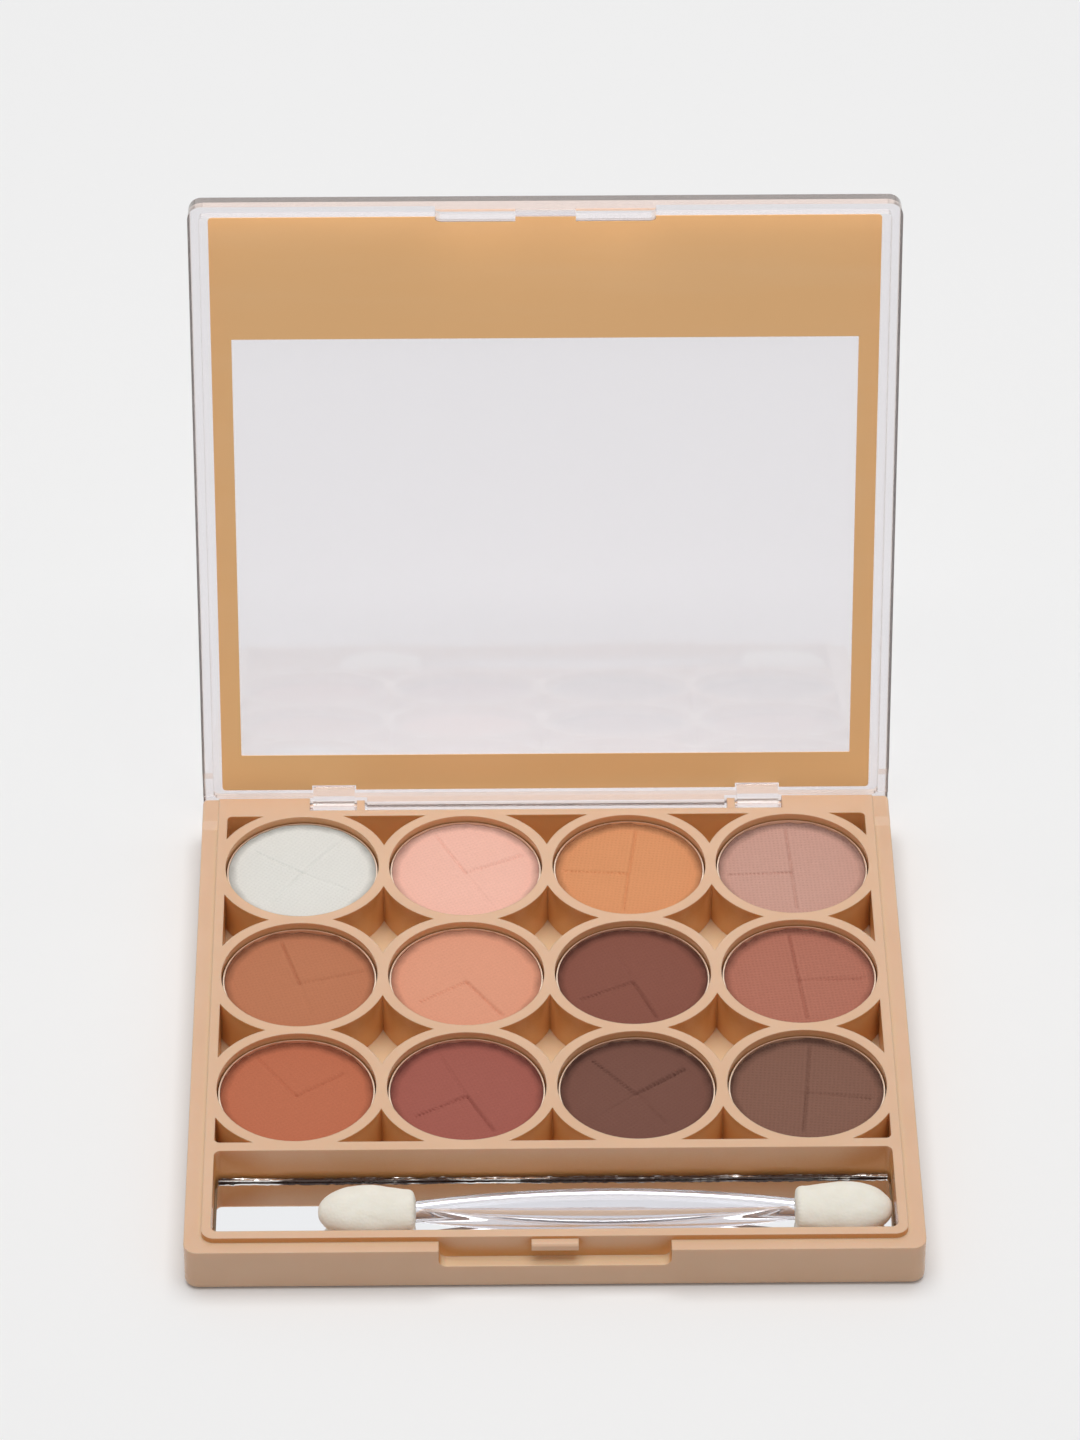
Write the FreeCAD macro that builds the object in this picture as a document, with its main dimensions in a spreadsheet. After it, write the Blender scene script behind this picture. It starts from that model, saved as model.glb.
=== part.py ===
import FreeCAD
import Part
import Sketcher
import os

# Eyeshadow palette: a tan tray with twelve pressed powders, a mirror trough with a
# double-ended sponge applicator, and a clear lid that turns on moulded trunnions.
# Millimetres. X runs left to right, Y from the front edge to the hinge, Z up from the
# underside. The lid is drawn closed and its placement swings it open about the trunnions.

V = FreeCAD.Vector
COLUMNS = 4
ROWS = 3

SIZES = (
    ("pan_pitch", 25.0),
    ("pan_diameter", 23.0),
    ("pan_height", 4.0),
    ("pan_wall", 0.2),
    ("pan_clearance", 0.22),
    ("pan_recess", 1.1),
    ("well_wall", 1.68),
    ("powder_gap", 0.05),
    ("cross_width", 0.4),
    ("cross_depth", 0.12),
    ("side_ledge", 2.5),
    ("front_ledge", 2.1),
    ("ledge_height", 7.2),
    ("plateau_step", 0.9),
    ("plateau_rim", 1.4),
    ("front_rim", 1.5),
    ("plateau_corner", 1.9),
    ("field_margin", 0.2),
    ("cross_bar", 1.75),
    ("back_rim", 1.36),
    ("base_floor", 1.15),
    ("base_corner_front", 2.0),
    ("base_corner_back", 0.8),
    ("base_edge", 1.0),
    ("trough_width", 16.85),
    ("trough_corner", 1.0),
    ("front_notch_width", 33.3),
    ("front_notch_depth", 2.95),
    ("front_notch_corner", 1.2),
    ("catch_width", 6.75),
    ("catch_reach", 1.3),
    ("catch_thickness", 1.1),
    ("catch_top", 0.4),
    ("catch_lead", 0.3),
    ("hinge_notch", 3.2),
    ("hinge_notch_width", 73.1),
    ("hinge_inset", 1.1),
    ("hinge_drop", 0.3),
    ("hinge_stop_gap", 0.1),
    ("trunnion_diameter", 1.0),
    ("trunnion_length", 2.0),
    ("trunnion_running_gap", 0.05),
    ("trunnion_end_gap", 0.2),
    ("rib_thickness", 1.2),
    ("rib_gap", 0.37),
    ("ear_length", 6.7),
    ("ear_ramp", 1.4),
    ("ear_drop", 0.25),
    ("ear_edge", 0.4),
    ("mirror_thickness", 1.1),
    ("mirror_width", 15.45),
    ("mirror_side_gap", 0.4),
    ("mirror_front_gap", 0.35),
    ("tape_thickness", 0.25),
    ("tape_margin", 2.0),
    ("lid_seat_gap", 0.1),
    ("lid_height", 4.5),
    ("lid_plate", 1.4),
    ("lid_wall", 1.6),
    ("lid_back_wall", 1.9),
    ("lid_edge", 0.6),
    ("lid_inner_corner", 0.8),
    ("lid_ear_gap", 0.3),
    ("lid_open_angle", 103.0),
    ("lug_gap", 0.5),
    ("lug_width", 6.4),
    ("lug_wall_gap", 0.15),
    ("tongue_gap", 0.25),
    ("tongue_length", 2.3),
    ("tongue_corner", 1.2),
    ("relief_gap", 1.1),
    ("relief_drop", 0.4),
    ("catch_bite", 0.2),
    ("catch_gap", 0.3),
    ("print_thickness", 0.15),
    ("print_side_margin", 2.9),
    ("print_front_margin", 2.85),
    ("print_back_margin", 2.5),
    ("print_corner", 0.6),
    ("print_lug_gap", 0.2),
    ("print_side_band", 3.1),
    ("print_front_band", 19.6),
    ("print_back_band", 6.0),
    ("applicator_end_gap", 0.3),
    ("applicator_front_gap", 1.4),
    ("applicator_rest_gap", 0.1),
    ("tip_length", 14.4),
    ("tip_width", 10.0),
    ("tip_thickness", 6.0),
    ("tip_roundness", 0.72),
    ("stub_length", 9.0),
    ("stub_gap", 0.1),
    ("handle_length", 54.3),
    ("handle_neck", 2.6),
    ("handle_middle", 7.4),
    ("handle_thickness", 2.6),
    ("handle_bevel", 1.1),
)

# Each powder: the turn of its pressed cross, in degrees, and how far it lies below the pan's rim.
POWDERS = (
    ("r1c1", 53.0, 0.25),
    ("r1c2", 26.0, 0.45),
    ("r1c3", -6.0, 0.7),
    ("r1c4", 3.0, 0.7),
    ("r2c1", 16.0, 0.8),
    ("r2c2", 34.0, 0.5),
    ("r2c3", 24.0, 0.8),
    ("r2c4", 5.0, 0.8),
    ("r3c1", 35.0, 0.8),
    ("r3c2", 28.0, 0.8),
    ("r3c3", 37.0, 0.8),
    ("r3c4", -6.0, 0.8),
)

LAYOUT = (
    ("well_radius", "sizes.pan_diameter / 2 + sizes.pan_clearance"),
    ("ring_radius", "layout.well_radius + sizes.well_wall"),
    ("base_width", f"{COLUMNS - 1} * sizes.pan_pitch + 2 * (layout.well_radius + sizes.plateau_rim"
     " + sizes.side_ledge)"),
    ("plateau_width", "layout.base_width - 2 * sizes.side_ledge"),
    ("inner_width", "layout.plateau_width - 2 * sizes.plateau_rim"),
    ("field_depth", f"{ROWS - 1} * sizes.pan_pitch + 2 * (layout.well_radius + sizes.field_margin)"),
    ("base_depth", "sizes.front_ledge + sizes.front_rim + sizes.trough_width + sizes.cross_bar"
     " + layout.field_depth + sizes.back_rim + sizes.hinge_notch"),
    ("back_y", "layout.base_depth / 2"),
    ("plateau_front_y", "sizes.front_ledge - layout.back_y"),
    ("trough_front_y", "layout.plateau_front_y + sizes.front_rim"),
    ("trough_y", "layout.trough_front_y + sizes.trough_width / 2"),
    ("field_front_y", "layout.trough_front_y + sizes.trough_width + sizes.cross_bar"),
    ("field_y", "layout.field_front_y + layout.field_depth / 2"),
    ("front_row_y", "layout.field_front_y + sizes.field_margin + layout.well_radius"),
    ("plateau_z", "sizes.ledge_height + sizes.plateau_step"),
    ("pan_seat_z", "layout.plateau_z - sizes.pan_recess - sizes.pan_height"),
    ("hinge_y", "layout.back_y - sizes.hinge_inset"),
    ("hinge_z", "sizes.ledge_height - sizes.hinge_drop"),
    ("hinge_floor_z", "layout.hinge_z - sizes.hinge_stop_gap"
     " - sizes.hinge_inset * tan(sizes.lid_open_angle / 2)"),
    ("ear_front_y", "layout.back_y - sizes.ear_length"),
    ("lug_outer_x", "sizes.hinge_notch_width / 2 - sizes.lug_gap"),
    ("lug_inner_x", "layout.lug_outer_x - sizes.lug_width"),
    ("lug_front_y", "layout.back_y - sizes.hinge_notch + sizes.lug_wall_gap"),
    ("rib_outer_x", "layout.lug_inner_x - sizes.rib_gap"),
    ("strip_half", "layout.rib_outer_x - sizes.rib_thickness - sizes.rib_gap"),
    ("rim_z", "sizes.ledge_height + sizes.lid_seat_gap"),
    ("relief_top_z", "layout.hinge_z + sizes.lid_ear_gap"
     " + sqrt(sizes.hinge_inset ^ 2 + (layout.plateau_z - layout.hinge_z) ^ 2)"),
    ("tongue_low_z", "layout.rim_z - sizes.tongue_length"),
    ("lid_front_inner_y", "sizes.lid_wall - layout.back_y"),
    ("catch_top_z", "sizes.ledge_height + sizes.catch_top"),
    ("catch_low_z", "layout.catch_top_z - sizes.catch_thickness"),
    ("catch_nose_y", "layout.plateau_front_y - sizes.catch_reach"),
    ("cavity_depth", "sizes.lid_height - sizes.lid_plate"),
    ("plate_inner_z", "layout.rim_z + layout.cavity_depth"),
    ("mirror_z", "sizes.base_floor + sizes.tape_thickness"),
    ("applicator_y", "layout.trough_front_y + sizes.applicator_front_gap + sizes.tip_width / 2"),
    ("applicator_z", "layout.mirror_z + sizes.mirror_thickness + sizes.applicator_rest_gap"
     " + sizes.tip_thickness / 2"),
    ("tip_side", "sizes.tip_thickness / 2 * sizes.tip_roundness"),
    ("tip_inner", "sizes.tip_width / 2 - layout.tip_side"),
    ("tip_flat", "(layout.tip_inner ^ 2 + (sizes.tip_thickness / 2) ^ 2 - layout.tip_side ^ 2)"
     " / (sizes.tip_thickness - 2 * layout.tip_side)"),
    ("trunnion_inner_x", "layout.rib_outer_x - sizes.rib_thickness"),
    ("trunnion_outer_x", "sizes.hinge_notch_width / 2 + sizes.trunnion_length"),
    ("applicator_x", "layout.inner_width / 2 - sizes.applicator_end_gap - sizes.tip_length"
     " - sizes.handle_length / 2"),
)

# The sponge tip from its cut end to its round end: place along the tip and share of its section.
TIP_FORM = (
    (0.0, 0.82),
    (0.14, 0.79),
    (0.32, 0.93),
    (0.52, 1.0),
    (0.72, 0.91),
    (0.88, 0.66),
    (0.96, 0.38),
    (1.0, 0.14),
)

doc = FreeCAD.newDocument("EyeshadowPalette")


def make_sheet(name, rows):
    """Makes a sheet of named values, one per row."""
    sheet = doc.addObject("Spreadsheet::Sheet", name)
    for number, (alias, value) in enumerate(rows, start=1):
        sheet.set(f"A{number}", alias)
        sheet.setAlias(f"B{number}", alias)
        sheet.set(f"B{number}", value)
    doc.recompute()
    return sheet


powder_sizes = []
for label, turn, drop in POWDERS:
    powder_sizes.append((f"cross_turn_{label}", turn))
    powder_sizes.append((f"powder_drop_{label}", drop))
make_sheet("sizes", [(alias, str(value)) for alias, value in SIZES + tuple(powder_sizes)])
layout = make_sheet("layout", [(alias, "=" + text.replace("layout.", "")) for alias, text in LAYOUT])


def size(alias):
    """Gives a worked-out length in millimetres."""
    return float(getattr(layout, alias))


def make_body(label):
    """Makes an empty body with its own label."""
    body = doc.addObject("PartDesign::Body", label)
    body.Label = label
    return body


def make_sketch(body, name, plane="XY_Plane", lift=None, shift=None):
    """Makes a sketch on an origin plane, lifted along its normal and shifted along its upright."""
    sketch = body.newObject("Sketcher::SketchObject", name)
    origin_plane = [item for item in body.Origin.OriginFeatures if item.Role == plane][0]
    sketch.AttachmentSupport = [(origin_plane, "")]
    sketch.MapMode = "FlatFace"
    if lift:
        sketch.setExpression("AttachmentOffset.Base.z", lift)
    if shift:
        sketch.setExpression("AttachmentOffset.Base.y", shift)
    return sketch


def bind(sketch, constraint, expression):
    """Adds a dimension and ties it to the sheet."""
    index = sketch.addConstraint(constraint)
    sketch.setExpression(f"Constraints[{index}]", expression)


def add_rectangle(sketch, width, depth, front_radius=None, back_radius=None):
    """Draws a rectangle about the sketch origin, with round corners where radii are given."""
    first = sketch.GeometryCount
    radius = 0.5 if front_radius else 0.0
    right = 5.0
    top = 4.0
    inner_x = right - radius
    inner_y = top - radius
    lines = (
        (V(-inner_x, -top, 0), V(inner_x, -top, 0)),
        (V(right, -inner_y, 0), V(right, inner_y, 0)),
        (V(inner_x, top, 0), V(-inner_x, top, 0)),
        (V(-right, inner_y, 0), V(-right, -inner_y, 0)),
    )
    for start, end in lines:
        sketch.addGeometry(Part.LineSegment(start, end))
    front, east, back, west = range(first, first + 4)
    if front_radius:
        quarter = 1.5707963267948966
        centres = (
            (V(inner_x, -inner_y, 0), -quarter),
            (V(inner_x, inner_y, 0), 0.0),
            (V(-inner_x, inner_y, 0), quarter),
            (V(-inner_x, -inner_y, 0), 2 * quarter),
        )
        for centre, angle in centres:
            circle = Part.Circle(centre, V(0, 0, 1), radius)
            sketch.addGeometry(Part.ArcOfCircle(circle, angle, angle + quarter))
        for number in range(4):
            arc = first + 4 + number
            sketch.addConstraint(Sketcher.Constraint("Tangent", first + number, 2, arc, 1))
            sketch.addConstraint(Sketcher.Constraint("Tangent", arc, 2, first + (number + 1) % 4, 1))
        sketch.addConstraint(Sketcher.Constraint("Equal", first + 4, first + 7))
        sketch.addConstraint(Sketcher.Constraint("Equal", first + 5, first + 6))
        bind(sketch, Sketcher.Constraint("Radius", first + 4, radius), front_radius)
        bind(sketch, Sketcher.Constraint("Radius", first + 5, radius), back_radius or front_radius)
    else:
        for number in range(4):
            following = first + (number + 1) % 4
            sketch.addConstraint(Sketcher.Constraint("Coincident", first + number, 2, following, 1))
    sketch.addConstraint(Sketcher.Constraint("Horizontal", back))
    sketch.addConstraint(Sketcher.Constraint("Vertical", east))
    sketch.addConstraint(Sketcher.Constraint("Vertical", west))
    sketch.addConstraint(Sketcher.Constraint("Symmetric", front, 1, front, 2, -2))
    bind(sketch, Sketcher.Constraint("DistanceX", west, 1, east, 1, 2 * right), width)
    bind(sketch, Sketcher.Constraint("DistanceY", front, 1, -1, 1, top), f"({depth}) / 2")
    bind(sketch, Sketcher.Constraint("DistanceY", -1, 1, back, 1, top), f"({depth}) / 2")


def add_circle(sketch, radius, across=None, up=None):
    """Draws a circle at the sketch origin, or at a place across and up from it."""
    circle = sketch.addGeometry(Part.Circle(V(1 if across else 0, 1 if up else 0, 0), V(0, 0, 1), 1))
    if across:
        bind(sketch, Sketcher.Constraint("DistanceX", -1, 1, circle, 3, 1), across)
        bind(sketch, Sketcher.Constraint("DistanceY", -1, 1, circle, 3, 1), up)
    else:
        sketch.addConstraint(Sketcher.Constraint("Coincident", circle, 3, -1, 1))
    bind(sketch, Sketcher.Constraint("Radius", circle, 1), radius)


def add_polygon(sketch, corners):
    """Draws a closed outline through corners given as pairs of expressions, all across and up."""
    count = len(corners)
    places = []
    for across, up in corners:
        places.append(V(doc.sizes.evalExpression(across), doc.sizes.evalExpression(up), 0))
    for number in range(count):
        sketch.addGeometry(Part.LineSegment(places[number], places[(number + 1) % count]))
    for number in range(count):
        sketch.addConstraint(Sketcher.Constraint("Coincident", number, 2, (number + 1) % count, 1))
    for number, (across, up) in enumerate(corners):
        bind(sketch, Sketcher.Constraint("DistanceX", -1, 1, number, 1, places[number].x), across)
        bind(sketch, Sketcher.Constraint("DistanceY", -1, 1, number, 1, places[number].y), up)


def add_pad(body, sketch, length, reverse=False, symmetric=False):
    """Pads a sketch by a length from the sheet."""
    pad = body.newObject("PartDesign::Pad", sketch.Name + "_pad")
    pad.Profile = sketch
    pad.Reversed = reverse
    if symmetric:
        pad.SideType = "Symmetric"
    pad.setExpression("Length", length)
    sketch.Visibility = False
    return settle(body, pad)


def add_pocket(body, sketch, length=None, reverse=False, symmetric=False):
    """Cuts a sketch by a length, or right through both ways, and makes sure that it cuts."""
    before = body.Shape.Volume
    pocket = body.newObject("PartDesign::Pocket", sketch.Name + "_pocket")
    pocket.Profile = sketch
    pocket.Reversed = reverse
    if length:
        pocket.setExpression("Length", length)
    else:
        pocket.Type = "ThroughAll"
    if symmetric or not length:
        pocket.SideType = "Symmetric"
    settle(body, pocket)
    if body.Shape.Volume > before - 1e-6:
        raise ValueError(f"{pocket.Name} cuts nothing")
    return pocket


def settle(body, feature):
    """Makes a feature the body's tip and recomputes."""
    body.Tip = feature
    doc.recompute()
    return feature


def add_row(body, feature, sketch):
    """Repeats a feature along a row of pans, from the left place."""
    row = body.newObject("PartDesign::LinearPattern", feature.Name + "_row")
    row.Originals = [feature]
    row.Direction = (sketch, ["H_Axis"])
    row.Mode = "Spacing"
    row.Occurrences = COLUMNS
    row.setExpression("Offset", "sizes.pan_pitch")
    return settle(body, row)


def add_mirror(body, features):
    """Mirrors features from the right side to the left."""
    mirror = body.newObject("PartDesign::Mirrored", features[-1].Name + "_mirror")
    mirror.Originals = features
    plane = [item for item in body.Origin.OriginFeatures if item.Role == "YZ_Plane"][0]
    mirror.MirrorPlane = (plane, [""])
    return settle(body, mirror)


def edges_where(shape, test):
    """Names the edges that pass a test at three places between their ends."""
    names = []
    for number, edge in enumerate(shape.Edges, start=1):
        first, last = edge.ParameterRange
        points = [edge.valueAt(first + share * (last - first)) for share in (0.25, 0.5, 0.75)]
        if all(test(point) for point in points):
            names.append(f"Edge{number}")
    return names


def round_edges(body, names, radius, kind="PartDesign::Fillet"):
    """Rounds or bevels named edges of the body's tip."""
    base = body.Tip
    dressing = body.newObject(kind, base.Name + "_edges")
    dressing.Base = (base, names)
    dressing.setExpression("Radius" if kind.endswith("Fillet") else "Size", radius)
    return settle(body, dressing)


def near(value, target):
    """Says whether two lengths agree."""
    return abs(value - target) < 1e-4


def place(body, across=None, along=None, height=None):
    """Ties a body's place to the sheet."""
    for axis, expression in (("x", across), ("y", along), ("z", height)):
        if expression:
            body.setExpression(f"Placement.Base.{axis}", expression)


def column_x(column):
    """The place of a column of pans across the tray."""
    return f"{column - (COLUMNS - 1) / 2} * sizes.pan_pitch"


def row_y(row):
    """The place of a row of pans along the tray; row 0 is at the back."""
    return f"layout.front_row_y + {ROWS - 1 - row} * sizes.pan_pitch"


def make_row_circle(body, name, row, lift, radius):
    """Draws a circle at the left place of a row of pans."""
    sketch = make_sketch(body, name, lift=lift, shift=row_y(row))
    sketch.setExpression("AttachmentOffset.Base.x", column_x(0))
    add_circle(sketch, radius)
    return sketch


def build_base():
    """The tray: one moulding, solid where the ring walls, rims and ears stand."""
    body = make_body("base_tray")
    outline = make_sketch(body, "base_outline")
    add_rectangle(outline, "layout.base_width", "layout.base_depth", "sizes.base_corner_front",
                  "sizes.base_corner_back")
    add_pad(body, outline, "layout.plateau_z")
    round_edges(body, edges_where(body.Shape, lambda point: near(point.z, 0)), "sizes.base_edge")

    # Field of hollows, then the ring walls stand up again in it and the wells are bored in them.
    field = make_sketch(body, "base_field", lift="layout.plateau_z", shift="layout.field_y")
    add_rectangle(field, "layout.inner_width", "layout.field_depth", "sizes.base_corner_back")
    add_pocket(body, field, "layout.plateau_z - sizes.base_floor")
    for row in range(ROWS):
        ring = make_row_circle(body, f"base_ring_{row}", row, "sizes.base_floor", "layout.ring_radius")
        add_row(body, add_pad(body, ring, "layout.plateau_z - sizes.base_floor"), ring)
    for row in range(ROWS):
        well = make_row_circle(body, f"base_well_{row}", row, "layout.plateau_z", "layout.well_radius")
        add_row(body, add_pocket(body, well, "sizes.pan_recess + sizes.pan_height"), well)

    trough = make_sketch(body, "base_trough", lift="layout.plateau_z", shift="layout.trough_y")
    add_rectangle(trough, "layout.inner_width", "sizes.trough_width", "sizes.trough_corner")
    add_pocket(body, trough, "layout.plateau_z - sizes.base_floor")

    # The ledge that the lid's wall stands on, along the front and both sides up to the ears.
    ledge = make_sketch(body, "base_ledge", lift="layout.plateau_z")
    add_ledge_outline(ledge)
    add_pocket(body, ledge, "sizes.plateau_step")

    # Ears at the back ends: the ledge climbs there by a ramp to just under the plateau.
    ears = make_sketch(body, "base_ear", plane="YZ_Plane", lift="layout.plateau_width / 2")
    add_polygon(ears, (
        ("layout.ear_front_y", "sizes.ledge_height"),
        ("layout.ear_front_y + sizes.ear_ramp", "layout.plateau_z - sizes.ear_drop"),
        ("layout.back_y + sizes.side_ledge", "layout.plateau_z - sizes.ear_drop"),
        ("layout.back_y + sizes.side_ledge", "layout.plateau_z + sizes.side_ledge"),
        ("layout.ear_front_y", "layout.plateau_z + sizes.side_ledge"),
    ))
    ear = add_pocket(body, ears, "2 * sizes.side_ledge", reverse=True)
    add_mirror(body, [ear])

    # Back notch between the ears, where the lid's back wall swings down.
    notch = make_sketch(body, "base_hinge_notch", lift="layout.plateau_z", shift="layout.back_y")
    add_rectangle(notch, "sizes.hinge_notch_width", "2 * sizes.hinge_notch")
    add_pocket(body, notch, "layout.plateau_z - layout.hinge_floor_z")
    back = size("back_y")
    low = size("plateau_z") - doc.sizes.ear_drop
    half = doc.sizes.hinge_notch_width / 2
    round_edges(body, edges_where(body.Shape, lambda point: near(point.y, back) and point.z > low - 1e-4
                                  and abs(point.x) > half - 1e-4), "sizes.ear_edge")
    ribs = make_sketch(body, "base_rib", plane="YZ_Plane", lift="layout.rib_outer_x - sizes.rib_thickness")
    add_knuckle(ribs)
    rib = add_pad(body, ribs, "sizes.rib_thickness")
    add_mirror(body, [rib])
    bore = make_sketch(body, "base_hinge_bore", plane="YZ_Plane")
    add_circle(bore, "sizes.trunnion_diameter / 2 + sizes.trunnion_running_gap", "layout.hinge_y",
               "layout.hinge_z")
    add_pocket(body, bore, "2 * (layout.trunnion_outer_x + sizes.trunnion_end_gap)", symmetric=True)

    # Front notch for the lid's tongue, with the catch tab standing out over its floor.
    gap = make_sketch(body, "base_front_notch", plane="XZ_Plane", lift="layout.back_y",
                      shift="sizes.ledge_height")
    add_rectangle(gap, "sizes.front_notch_width", "2 * sizes.front_notch_depth", "sizes.front_notch_corner")
    add_pocket(body, gap, "sizes.front_ledge")
    catch = make_sketch(body, "base_catch", plane="XZ_Plane", lift="-layout.plateau_front_y",
                        shift="sizes.ledge_height + sizes.catch_top - sizes.catch_thickness / 2")
    add_rectangle(catch, "sizes.catch_width", "sizes.catch_thickness")
    add_pad(body, catch, "sizes.catch_reach")
    nose = size("plateau_front_y") - doc.sizes.catch_reach
    top = doc.sizes.ledge_height + doc.sizes.catch_top
    round_edges(body, edges_where(body.Shape, lambda point: near(point.y, nose) and near(point.z, top)),
                "sizes.catch_lead", kind="PartDesign::Chamfer")
    return body


def add_ledge_outline(sketch):
    """Draws the U of the ledge: the plateau's front and sides inside, beyond the tray outside."""
    reach = size("base_width")
    side = size("plateau_width") / 2
    front = size("plateau_front_y")
    back = size("ear_front_y")
    radius = doc.sizes.plateau_corner
    quarter = 1.5707963267948966
    corners = (
        V(-side, back, 0),
        V(-reach, back, 0),
        V(-reach, -reach, 0),
        V(reach, -reach, 0),
        V(reach, back, 0),
        V(side, back, 0),
    )
    for start, end in zip(corners[:-1], corners[1:]):
        sketch.addGeometry(Part.LineSegment(start, end))
    right = sketch.addGeometry(Part.LineSegment(V(side, back, 0), V(side, front + radius, 0)))
    circle = Part.Circle(V(side - radius, front + radius, 0), V(0, 0, 1), radius)
    right_arc = sketch.addGeometry(Part.ArcOfCircle(circle, -quarter, 0))
    bottom = sketch.addGeometry(Part.LineSegment(V(side - radius, front, 0), V(radius - side, front, 0)))
    circle = Part.Circle(V(radius - side, front + radius, 0), V(0, 0, 1), radius)
    left_arc = sketch.addGeometry(Part.ArcOfCircle(circle, 2 * quarter, 3 * quarter))
    left = sketch.addGeometry(Part.LineSegment(V(-side, front + radius, 0), V(-side, back, 0)))
    for number in range(4):
        sketch.addConstraint(Sketcher.Constraint("Coincident", number, 2, number + 1, 1))
    sketch.addConstraint(Sketcher.Constraint("Coincident", 4, 2, right, 1))
    sketch.addConstraint(Sketcher.Constraint("Coincident", left, 2, 0, 1))
    sketch.addConstraint(Sketcher.Constraint("Tangent", right, 2, right_arc, 2))
    sketch.addConstraint(Sketcher.Constraint("Tangent", right_arc, 1, bottom, 1))
    sketch.addConstraint(Sketcher.Constraint("Tangent", bottom, 2, left_arc, 2))
    sketch.addConstraint(Sketcher.Constraint("Tangent", left_arc, 1, left, 1))
    for number in (0, 4):
        sketch.addConstraint(Sketcher.Constraint("Horizontal", number))
    for number in (1, 3, right, left):
        sketch.addConstraint(Sketcher.Constraint("Vertical", number))
    sketch.addConstraint(Sketcher.Constraint("Equal", right_arc, left_arc))
    sketch.addConstraint(Sketcher.Constraint("Symmetric", 2, 1, 2, 2, -2))
    sketch.addConstraint(Sketcher.Constraint("Symmetric", bottom, 1, bottom, 2, -2))
    sketch.addConstraint(Sketcher.Constraint("PointOnObject", 4, 1, 0))
    bind(sketch, Sketcher.Constraint("Radius", right_arc, radius), "sizes.plateau_corner")
    bind(sketch, Sketcher.Constraint("DistanceX", 2, 1, 2, 2, 2 * reach), "2 * layout.base_width")
    bind(sketch, Sketcher.Constraint("DistanceY", 2, 1, -1, 1, reach), "layout.base_width")
    bind(sketch, Sketcher.Constraint("DistanceX", left, 1, right, 2, 2 * side), "layout.plateau_width")
    bind(sketch, Sketcher.Constraint("DistanceY", bottom, 1, -1, 1, -front), "-layout.plateau_front_y")
    bind(sketch, Sketcher.Constraint("DistanceY", -1, 1, 0, 1, back), "layout.ear_front_y")


def add_knuckle(sketch):
    """Draws a hinge rib seen from the side: square on the notch floor, round over the trunnion."""
    wall = size("back_y") - doc.sizes.hinge_notch - doc.sizes.back_rim / 2
    back = size("back_y")
    floor = size("hinge_floor_z") - doc.sizes.base_floor / 2
    axis_y = size("hinge_y")
    axis_z = size("hinge_z")
    radius = doc.sizes.hinge_inset
    quarter = 1.5707963267948966
    sketch.addGeometry(Part.LineSegment(V(wall, floor, 0), V(back, floor, 0)))
    sketch.addGeometry(Part.LineSegment(V(back, floor, 0), V(back, axis_z, 0)))
    sketch.addGeometry(Part.ArcOfCircle(Part.Circle(V(axis_y, axis_z, 0), V(0, 0, 1), radius), 0, quarter))
    sketch.addGeometry(Part.LineSegment(V(axis_y, axis_z + radius, 0), V(wall, axis_z + radius, 0)))
    sketch.addGeometry(Part.LineSegment(V(wall, axis_z + radius, 0), V(wall, floor, 0)))
    sketch.addConstraint(Sketcher.Constraint("Coincident", 0, 2, 1, 1))
    sketch.addConstraint(Sketcher.Constraint("Tangent", 1, 2, 2, 1))
    sketch.addConstraint(Sketcher.Constraint("Tangent", 2, 2, 3, 1))
    sketch.addConstraint(Sketcher.Constraint("Coincident", 3, 2, 4, 1))
    sketch.addConstraint(Sketcher.Constraint("Coincident", 4, 2, 0, 1))
    sketch.addConstraint(Sketcher.Constraint("Horizontal", 0))
    sketch.addConstraint(Sketcher.Constraint("Vertical", 1))
    sketch.addConstraint(Sketcher.Constraint("Horizontal", 3))
    sketch.addConstraint(Sketcher.Constraint("Vertical", 4))
    bind(sketch, Sketcher.Constraint("DistanceX", -1, 1, 2, 3, axis_y), "layout.hinge_y")
    bind(sketch, Sketcher.Constraint("DistanceY", -1, 1, 2, 3, axis_z), "layout.hinge_z")
    bind(sketch, Sketcher.Constraint("Radius", 2, radius), "sizes.hinge_inset")
    bind(sketch, Sketcher.Constraint("DistanceX", -1, 1, 0, 1, wall),
         "layout.back_y - sizes.hinge_notch - sizes.back_rim / 2")
    bind(sketch, Sketcher.Constraint("DistanceY", -1, 1, 0, 1, floor),
         "layout.hinge_floor_z - sizes.base_floor / 2")


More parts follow.
